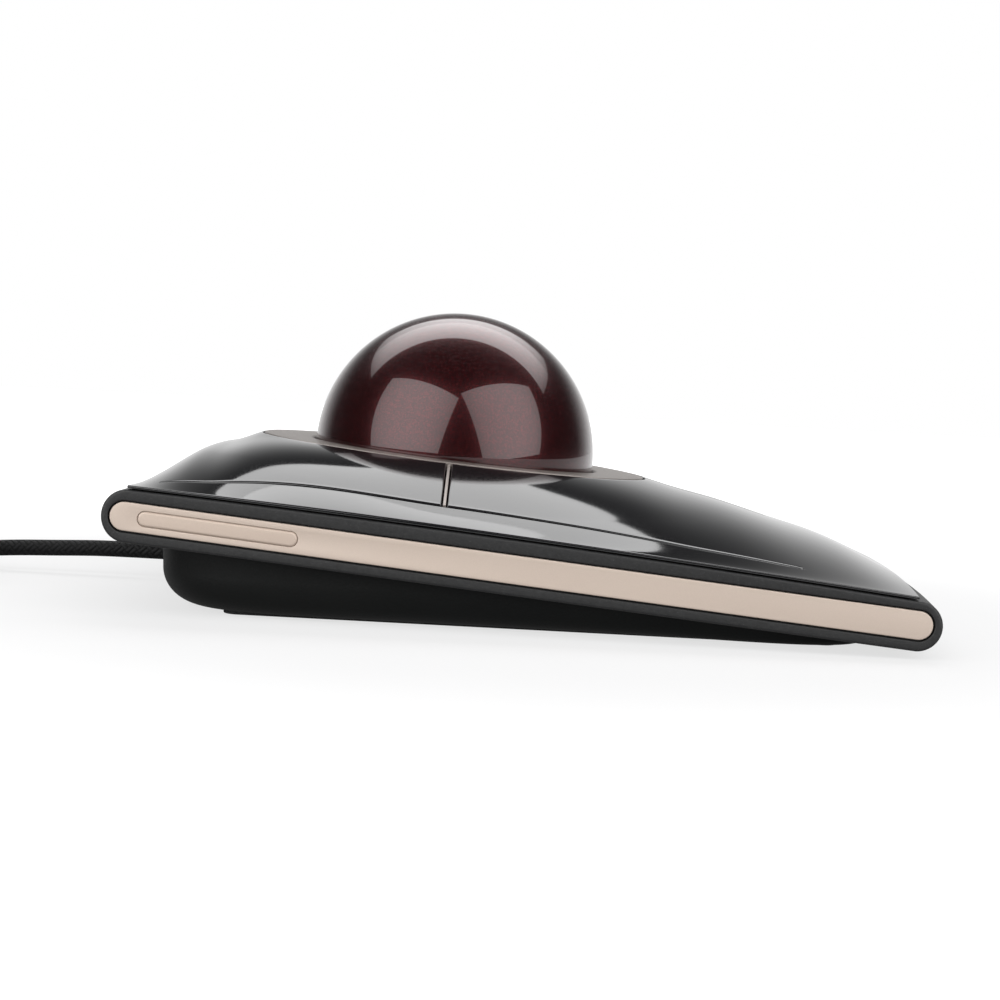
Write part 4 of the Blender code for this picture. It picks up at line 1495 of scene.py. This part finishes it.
@dataclass
class CordSet(Piece):
    """The woven cord, its coil and tie, its strain relief and its plug."""

    diameter: float = 3.2
    length: float = 1800.0
    exit: tuple[float, float, float] = (0.0, 68.0, 5.3)
    route: tuple[tuple[float, float, float], ...] = (
        (0, 68.3, 5.3), (0, 76, 5.32), (0.1, 84, 5.25), (0.2, 92, 4.9), (0.5, 101, 4.45),
        (1.2, 109, 3.75), (2.3, 116, 3.05),
    )  # fmt: skip
    tail: tuple[tuple[float, float, float], ...] = (
        (3.8, 146.2, 9.6), (3.5, 151.5, 8.4), (1.8, 157.2, 7.0), (-1.8, 162, 5.9), (-6.4, 165.2, 5.1),
        (-10.9, 166.4, 4.8),
    )  # fmt: skip
    coil_centre: tuple[float, float] = (-19.5, 133.0)
    coil_middle: float = 18.5
    turn_radii: tuple[float, ...] = (23.3, 20.1, 16.9, 13.7)
    layers: tuple[float, ...] = (2.6, 5.8, 9.0, 12.2)
    turns: int = 15
    step_share: float = 0.2
    tie_turn: float = math.radians(250)
    tie_width: float = 9.0
    sides: int = 14
    plug_axis: tuple[float, float, float] = (-11.3, 166.4, 4.8)
    plug_neck: float = 11.0
    plug_body: tuple[float, float, float] = (24.0, 15.6, 8.4)
    plug_shell: tuple[float, float, float] = (18.6, 12.0, 4.5)

    def build(self) -> None:
        path = self.path()
        cord = self.sleeve(path)
        self.relief()
        pieces = [self.tie(), self.grip(), self.shell(), bpy.data.objects["plug_tongue"]]

    def path(self) -> Array:
        """Gives the cord's centre line.

        It leaves the case, comes down to the desk and runs into the coil. A coil turn is a circle, and in
        its last fifth the cord steps over to the next turn's place, beside it or a layer up. From the top
        it runs down to the plug.
        """
        ways = (self.turn_radii, self.turn_radii[::-1])
        places = [(r, z) for k, z in enumerate(self.layers) for r in ways[k % 2]]
        places = np.array(places[: self.turns + 1])
        places[-1] = (self.turn_radii[0], self.layers[-1])
        turn = np.linspace(0, self.turns, self.turns * 44 + 1)
        whole = np.clip(turn.astype(int), 0, self.turns - 1)
        part = smoothstep(1 - self.step_share, 1.0, turn - whole)
        ring = places[whole] * (1 - part[:, None]) + places[whole + 1] * part[:, None]
        angle = turn * 2 * math.pi
        cx, cy = self.coil_centre
        coil = np.c_[cx + ring[:, 0] * np.cos(angle), cy + ring[:, 0] * np.sin(angle), ring[:, 1]]
        lead = self.smooth(np.array([*self.route, coil[0], coil[2]]), len(self.route))
        into_plug = (self.plug_axis[0] - 4, *self.plug_axis[1:])
        down = self.smooth(np.array([coil[-3], coil[-1], *self.tail, into_plug]), None)
        return np.concatenate([lead, coil[1:-1], down])

    def smooth(self, knots: Array, stop: int | None) -> Array:
        """Runs a smooth line through knots, spaced evenly along it.

        Args:
            knots: Places it goes through.
            stop: The knot it ends at, where later ones only guide its direction; without it, the first
                knot only guides its direction.

        Returns:
            Points about 2 mm apart.
        """
        gone = np.r_[0, np.cumsum(np.linalg.norm(np.diff(knots, axis=0), axis=1))]
        start = 0.0 if stop is not None else gone[1]
        end = gone[stop] if stop is not None else gone[-1]
        at = np.linspace(start, end, int((end - start) / 2) + 2)
        return through(np.c_[gone, knots], at)

    def sleeve(self, path: Array) -> bpy.types.Object:
        """Makes the cord as a tube along its centre line, with a map of the sleeve.

        Round each point the section is a circle in the plane square to the line. The map's first number
        goes once round the cord and its second is the length along it, in metres.

        Args:
            path: The centre line.

        Returns:
            The cord.
        """
        way = np.gradient(path, axis=0)
        way /= np.linalg.norm(way, axis=1, keepdims=True)
        side = np.cross(way, [0, 0, 1.0])
        side /= np.linalg.norm(side, axis=1, keepdims=True)
        over = np.cross(side, way)
        angle = np.linspace(0, 2 * math.pi, self.sides, endpoint=False)[None, :, None]
        outward = np.cos(angle) * side[:, None] + np.sin(angle) * over[:, None]
        grid = path[:, None] + self.diameter / 2 * outward
        skin = Skin("woven_cord")
        index = skin.patch(grid, wrap_cols=True)
        skin.fan(index[0], path[0])
        skin.fan(index[-1], path[-1])
        mesh = bpy.data.meshes.new(skin.name)
        mesh.from_pydata((np.concatenate(skin.points) * MM).tolist(), [], skin.faces)
        gone = np.r_[0, np.cumsum(np.linalg.norm(np.diff(path, axis=0), axis=1))] * MM
        i, j = np.meshgrid(np.arange(len(path) - 1), np.arange(self.sides), indexing="ij")
        round_the = np.stack([j, j, j + 1, j + 1], axis=-1) / self.sides
        along = np.stack([gone[i], gone[i + 1], gone[i + 1], gone[i]], axis=-1)
        sheet = np.stack([round_the, along], axis=-1).reshape(-1, 2)
        sleeve = np.zeros((len(mesh.loops), 2))
        sleeve[: len(sheet)] = sheet
        mesh.uv_layers.new(name="sleeve").data.foreach_set("uv", sleeve.ravel())
        cord = bpy.data.objects.new(skin.name, mesh)
        bpy.context.scene.collection.objects.link(cord)
        shade(cord, 60)
        flip = mesh.polygons[0].normal.dot(Vector(mesh.polygons[0].center) - Vector(path[0] * MM)) < 0
        if flip:
            mesh.flip_normals()
        log.info("cord centre line: %.0f mm", gone[-1] / MM)
        return self.place(cord, "case", "braid", "cord", "cord_coil", "cord_tail")

    def relief(self) -> None:
        """Makes the strain relief: a tapered rubber sleeve with rings round it."""
        ribs = []
        for k in range(4):
            y, r = 3.9 + 1.5 * k, 2.42 - 0.11 * k
            ribs += [(r, y, 0.15), (r, y + 0.85, 0.15), (r - 0.35, y + 0.9, 0.1), (r - 0.35, y + 1.45, 0.1)]
        collar = [(0.01, 0, 0), (2.6, 0, 0.2), (2.6, 3.5, 0.3), (2.2, 3.6, 0.1)]
        corners = [*collar, *ribs, (1.95, 10.0, 0.1), (1.9, 10.5, 0.25), (0.01, 10.5, 0)]
        skin = Skin("cord_relief")
        turned(skin, rounded(corners, 4), (0, 57.5, self.exit[2]), (0, 1, 0), 48)
        self.place(skin.object(), "case", "rubber", "strain_relief")

    def tie(self) -> bpy.types.Object:
        """Makes the tie: a flat strap, its section carried once round the bundle's rounded section.

        Returns:
            The tie.
        """
        half, lift = 6.4, self.layers[0] - self.diameter / 2
        middle = lift + half
        turn = np.linspace(0, 2 * math.pi, 120, endpoint=False)[:, None]
        side = self.tie_width / 2
        section = rounded([(-side, 0.25, 0.2), (side, 0.25, 0.2), (side, 1.0, 0.3), (-side, 1.0, 0.3)])
        across, out = section[None, :, 0], section[None, :, 1]
        corner = 1.8
        reach = corner + out
        squared = 0.28
        cos = np.sign(np.cos(turn)) * np.abs(np.cos(turn)) ** squared
        sin = np.sign(np.sin(turn)) * np.abs(np.sin(turn)) ** squared
        r = self.coil_middle + (half - corner + reach) * cos
        z = middle + (half - corner + reach) * sin
        angle = self.tie_turn + across / self.coil_middle + 0 * turn
        cx, cy = self.coil_centre
        grid = np.stack([cx + r * np.cos(angle), cy + r * np.sin(angle), z], axis=-1)
        skin = Skin("cord_tie")
        skin.solid(grid, loop=True)
        return self.place(skin.object(), "case", "rubber", "coil_tie")

    def grip(self) -> bpy.types.Object:
        """Makes the plug's grip: rounded sections that swell from the ribbed neck to the body.

        Returns:
            The grip.
        """
        length, wide, high = self.plug_body
        stations = [(0.0, 1.9, 1.9), (0.3, 2.25, 2.25)]
        for k in range(5):
            at, r = 0.9 + 1.9 * k, 2.35 + 0.2 * k
            rib = ((0.0, 0.0), (1.0, 0.05), (1.15, -0.35), (1.75, -0.3))
            stations += [(at + step, r + more, r + more) for step, more in rib]
        neck = self.plug_neck
        stations += [(neck - 0.4, 3.4, 3.2), (neck, 6.2, 3.5), (neck + 0.8, 7.2, 3.9)]
        stations.append((neck + 2.5, wide / 2, high / 2))
        for back, less in ((1.2, 0.0), (0.4, 0.3), (0.0, 0.9)):
            stations.append((neck + length - back, wide / 2 - less, high / 2 - less))
        table = np.array(stations)
        turn = np.linspace(0, 2 * math.pi, 64, endpoint=False)[None]
        square = 1 - 0.6 * smoothstep(neck - 1, neck + 2, table[:, :1])
        cos = np.sign(np.cos(turn)) * np.abs(np.cos(turn)) ** square
        sin = np.sign(np.sin(turn)) * np.abs(np.sin(turn)) ** square
        x0, y0, z0 = self.plug_axis
        x = x0 - table[:, :1] + 0 * turn
        skin = Skin("plug_grip")
        skin.solid(np.stack([x, y0 + table[:, 1:2] * cos, z0 + table[:, 2:3] * sin], axis=-1))
        return self.place(skin.object(), "case", "rubber", "plug_body")

    def shell(self) -> bpy.types.Object:
        """Makes the plug's steel shell: a thin rounded box, open at its mouth, with two latch windows.

        Returns:
            The shell.
        """
        long, wide, high = self.plug_shell
        x0, y0, z0 = self.plug_axis
        mouth = x0 - self.plug_neck - self.plug_body[0] - 0.3

        def loop(x: float, shrink: float) -> Array:
            """Draws the rounded section at x, shrunk by a margin."""
            a, b, r = wide / 2 - shrink, high / 2 - shrink, max(0.7 - shrink, 0.3)
            outline = rounded([(-a, -b, r), (a, -b, r), (a, b, r), (-a, b, r)])
            return np.c_[np.full(len(outline), x), outline[:, 0] + y0, outline[:, 1] + z0]

        end = mouth - long
        places = ((mouth, 0), (end + 0.2, 0), (end, 0.12), (end, 0.3), (end + 0.3, 0.35), (mouth - 2, 0.35))
        loops = [loop(place, less) for place, less in places]
        skin = Skin("plug_sleeve")
        skin.solid(np.stack(loops))
        piece = skin.object()
        windows = []
        for offset in (-2.6, 2.6):
            tool = Skin("window")
            corners = rounded([(-1.25, -1.0, 0.15), (1.25, -1.0, 0.15), (1.25, 1.0, 0.15), (-1.25, 1.0, 0.15)])
            ring = np.c_[corners[:, 0] + mouth - 8, corners[:, 1] + y0 + offset]
            tool.solid(np.stack([np.c_[ring, np.full(len(ring), z)] for z in (z0 + 1.6, z0 + 4)]))
            windows.append(tool.object())
        shaped(piece, windows, "DIFFERENCE")
        return self.place(piece, "case", "steel", "plug_shell")


# ---------------------------------------------------------------- studio


@dataclass(frozen=True)
class SoftBox:
    """A rectangular soft light.

    Attributes:
        name: Its name.
        centre: Its middle, from the ball, at a distance of 1.
        half_x: Half of its first side.
        half_y: Half of its second side.
        brightness: Its brightness at the middle, where white is 1.
        fade: The share that is lost towards both ends of its first side.
    """

    name: str
    centre: Colour
    half_x: Colour
    half_y: Colour
    brightness: float
    fade: float


@dataclass
class Studio:
    """The floor, the soft boxes and the camera.

    Each soft box stands at a direction from the ball, given with its two half sides, all as shares of the
    boxes' distance.
    """

    distance: float = 1.25
    floor_half: float = 1500.0
    painted_shadow_reach: tuple[float, float] = (0.09, 0.3)
    painted_shadow_depth: float = 0.5
    glow_seen: float = 0.71
    glow_cast: float = 0.15
    aim: tuple[float, float, float] = (0.0, 0.0139, 0.02812)
    camera_place: tuple[float, float, float] = (-0.4176, 0.004393, 0.0465)
    pitch: float = math.radians(3.757)
    roll: float = math.radians(3.006)
    lens: float = 75.672
    boxes: tuple[SoftBox, ...] = (
        SoftBox("top_box", (0.577, -0.109, 0.81), (-0.029, -0.938, 0.053), (0.349, -0.001, 0.106), 3.3, 0.75),
        SoftBox("back_box", (1.318, -0.110, 1.036), (-0.029, -0.938, 0.053), (0.387, -0.001, 0.118), 2.3, 0.75),
        SoftBox("left_box", (-0.652, 0.575, 0.494), (-0.392, -0.470, -0.017), (0.151, -0.161, 0.461), 2.9, 0.35),
        SoftBox("right_box", (-0.531, -0.725, 0.439), (0.339, -0.453, 0.063), (0.201, 0.216, 0.447), 2.7, 0.35),
    )

    def build(self) -> None:
        """Makes the studio."""
        self.floor()
        self.room()
        for box in self.boxes:
            self.soft_box(box)
        self.camera()
        bpy.context.scene.view_settings.view_transform = "Standard"

    def floor(self) -> None:
        """Makes the pale floor. It glows, less within 90 mm of the object's middle and fully beyond 300 mm, a
        painted soft shadow round the object, and it glows brighter to the camera than to the rest of the scene.
        """
        skin = Skin("studio_floor")
        line = np.linspace(-self.floor_half, self.floor_half, 9)
        x, y = np.meshgrid(line, line, indexing="ij")
        skin.patch(np.stack([x, y, np.zeros_like(x)], axis=-1))
        piece = skin.object()
        if piece.data.polygons[0].normal.z < 0:
            piece.data.flip_normals()
        p = Paint("pale_floor")
        shade_of = p.blend(p.noise(40, 2), (0.175, 0.175, 0.177), (0.185, 0.185, 0.187))
        spot = p.node("ShaderNodeNewGeometry", {}, {}, "Position")
        # The glow is lower near the object's middle: a painted soft shadow on the floor round the object.
        away = p.node("ShaderNodeVectorMath", {"operation": "LENGTH"}, {0: spot}, "Value")
        seen = p.node("ShaderNodeLightPath", {}, {}, "Is Camera Ray")
        near, far = self.painted_shadow_reach
        glow = away.ease(near, far)
        glow = glow * self.painted_shadow_depth
        strength = seen * (glow + self.glow_seen) + (1 - seen) * (glow + self.glow_cast)
        piece.data.materials.append(
            p.coat(
                Base_Color=shade_of,
                Roughness=0.8,
                Emission_Color=(1.0, 1.0, 1.0),
                Emission_Strength=strength,
                Specular_IOR_Level=0.1,
            )
        )

    def room(self) -> None:
        """Lights the room: a white wall behind the object that fades upwards and sideways to dim.

        The share of white is one smooth step of the angle off the wall's middle times another of height,
        both from the world's own directions. What is seen directly is white all round.
        """
        world = bpy.data.worlds.new("studio_room")
        bpy.context.scene.world = world
        world.use_nodes = True
        tree = world.node_tree
        tree.nodes.clear()
        paint = Paint.on(tree)
        direction = paint.node("ShaderNodeTexCoord", {}, {}, "Generated")
        x, _, z = paint.parts(direction)
        wall = x.ease(0.5, 0.95) * (1 - z.ease(0.0, 0.6)) ** 1.4
        ambient = paint.blend(wall, (0.035, 0.035, 0.036), (0.85, 0.85, 0.85))
        light = Term(paint, tree.nodes.new("ShaderNodeLightPath").outputs["Is Camera Ray"])
        colour = paint.blend(light, ambient, (1.0, 1.0, 1.0))
        background = tree.nodes.new("ShaderNodeBackground")
        paint.feed(background.inputs["Color"], colour)
        out = tree.nodes.new("ShaderNodeOutputWorld")
        tree.links.new(background.outputs[0], out.inputs["Surface"])

    def soft_box(self, box: SoftBox) -> None:
        """Hangs one soft box."""
        light = bpy.data.lights.new(box.name, "AREA")
        light.shape = "RECTANGLE"
        middle = Vector(box.centre) * self.distance
        x, y = Vector(box.half_x), Vector(box.half_y)
        light.size, light.size_y = 2 * x.length * self.distance, 2 * y.length * self.distance
        x.normalize()
        y = (y - x * y.dot(x)).normalized()
        z = x.cross(y)
        if z.dot(middle) < 0:
            x, z = -x, -z
        light.energy = box.brightness * math.pi * light.size * light.size_y
        light.use_nodes = True
        light.node_tree.nodes.clear()
        paint = Paint.on(light.node_tree)
        u, _, _ = paint.parts(paint.node("ShaderNodeNewGeometry", {}, {}, "Parametric"))
        strength = 1 - ((u - 0.5) * 2) ** 2 * box.fade
        glow = paint.node("ShaderNodeEmission", {}, {"Color": (1.0, 1.0, 1.0), "Strength": strength})
        paint.node("ShaderNodeOutputLight", {}, {"Surface": glow}, None)
        lamp = bpy.data.objects.new(box.name, light)
        turn = Matrix((x, y, z)).transposed().to_4x4()
        lamp.matrix_world = Matrix.Translation(middle + Vector(self.aim)) @ turn
        lamp.visible_camera = False
        bpy.context.scene.collection.objects.link(lamp)

    def camera(self) -> None:
        """Stands the camera low on the left, looking across, a little down, and rolled."""
        data = bpy.data.cameras.new("view")
        data.lens, data.sensor_width = self.lens, 36.0
        data.clip_start, data.clip_end = 0.01, 50.0
        ahead = Vector((math.cos(self.pitch), 0, -math.sin(self.pitch)))
        level = Vector((0, -1, 0))
        up = level.cross(ahead)
        right = level * math.cos(self.roll) + up * math.sin(self.roll)
        top = up * math.cos(self.roll) - level * math.sin(self.roll)
        view = bpy.data.objects.new("view", data)
        turn = Matrix((right, top, -ahead)).transposed().to_4x4()
        view.matrix_world = Matrix.Translation(Vector(self.camera_place)) @ turn
        bpy.context.scene.collection.objects.link(view)
        bpy.context.scene.camera = view


# ---------------------------------------------------------------- what stays as packed


@dataclass
class InnerParts(Piece):
    """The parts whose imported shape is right, and only need their finish."""

    def build(self, nodes: dict[str, bpy.types.Object], slots: dict[str, str]) -> None:
        """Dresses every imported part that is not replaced.

        Args:
            nodes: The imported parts.
            slots: Each part's material slot.
        """
        for name, piece in sorted(nodes.items()):
            finish = self.finishes[slots[name]]
            for place in piece.material_slots:
                place.material = finish
            if not piece.material_slots:
                piece.data.materials.append(finish)


def main() -> None:
    """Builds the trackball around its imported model."""
    logging.basicConfig(level=logging.INFO, format="%(name)s: %(message)s")
    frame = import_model()
    form = CaseForm()
    kinds = (
        PianoBlack(), SparkCharcoal(), MatteBlack(), WarmBeige(), Champagne(), DeepRedResin(), Rubber(),
        WovenSleeve(), BrushedSteel(), RedLens(), SolderMask(), WhiteMoulding(),
    )  # fmt: skip
    finishes = {kind.slot: kind.material() for kind in kinds}
    plate = WarmBeige(name="warm_beige_plate", colour=(0.57, 0.468, 0.392), deep=(0.525, 0.424, 0.354))
    finishes["beige_plate"] = plate.material()
    Studio().build()
    slots = {part["node"]: part["material_slot"] for part in frame["record"]["subparts"]}
    InnerParts(form, finishes).build(frame["nodes"], slots)
    for kind in (CordSet, LowerHousing, SideTrim, Base, GlossCover, Buttons, Strips, BallAndRing):
        kind(form, finishes).build()


if __name__ == "__main__":
    main()
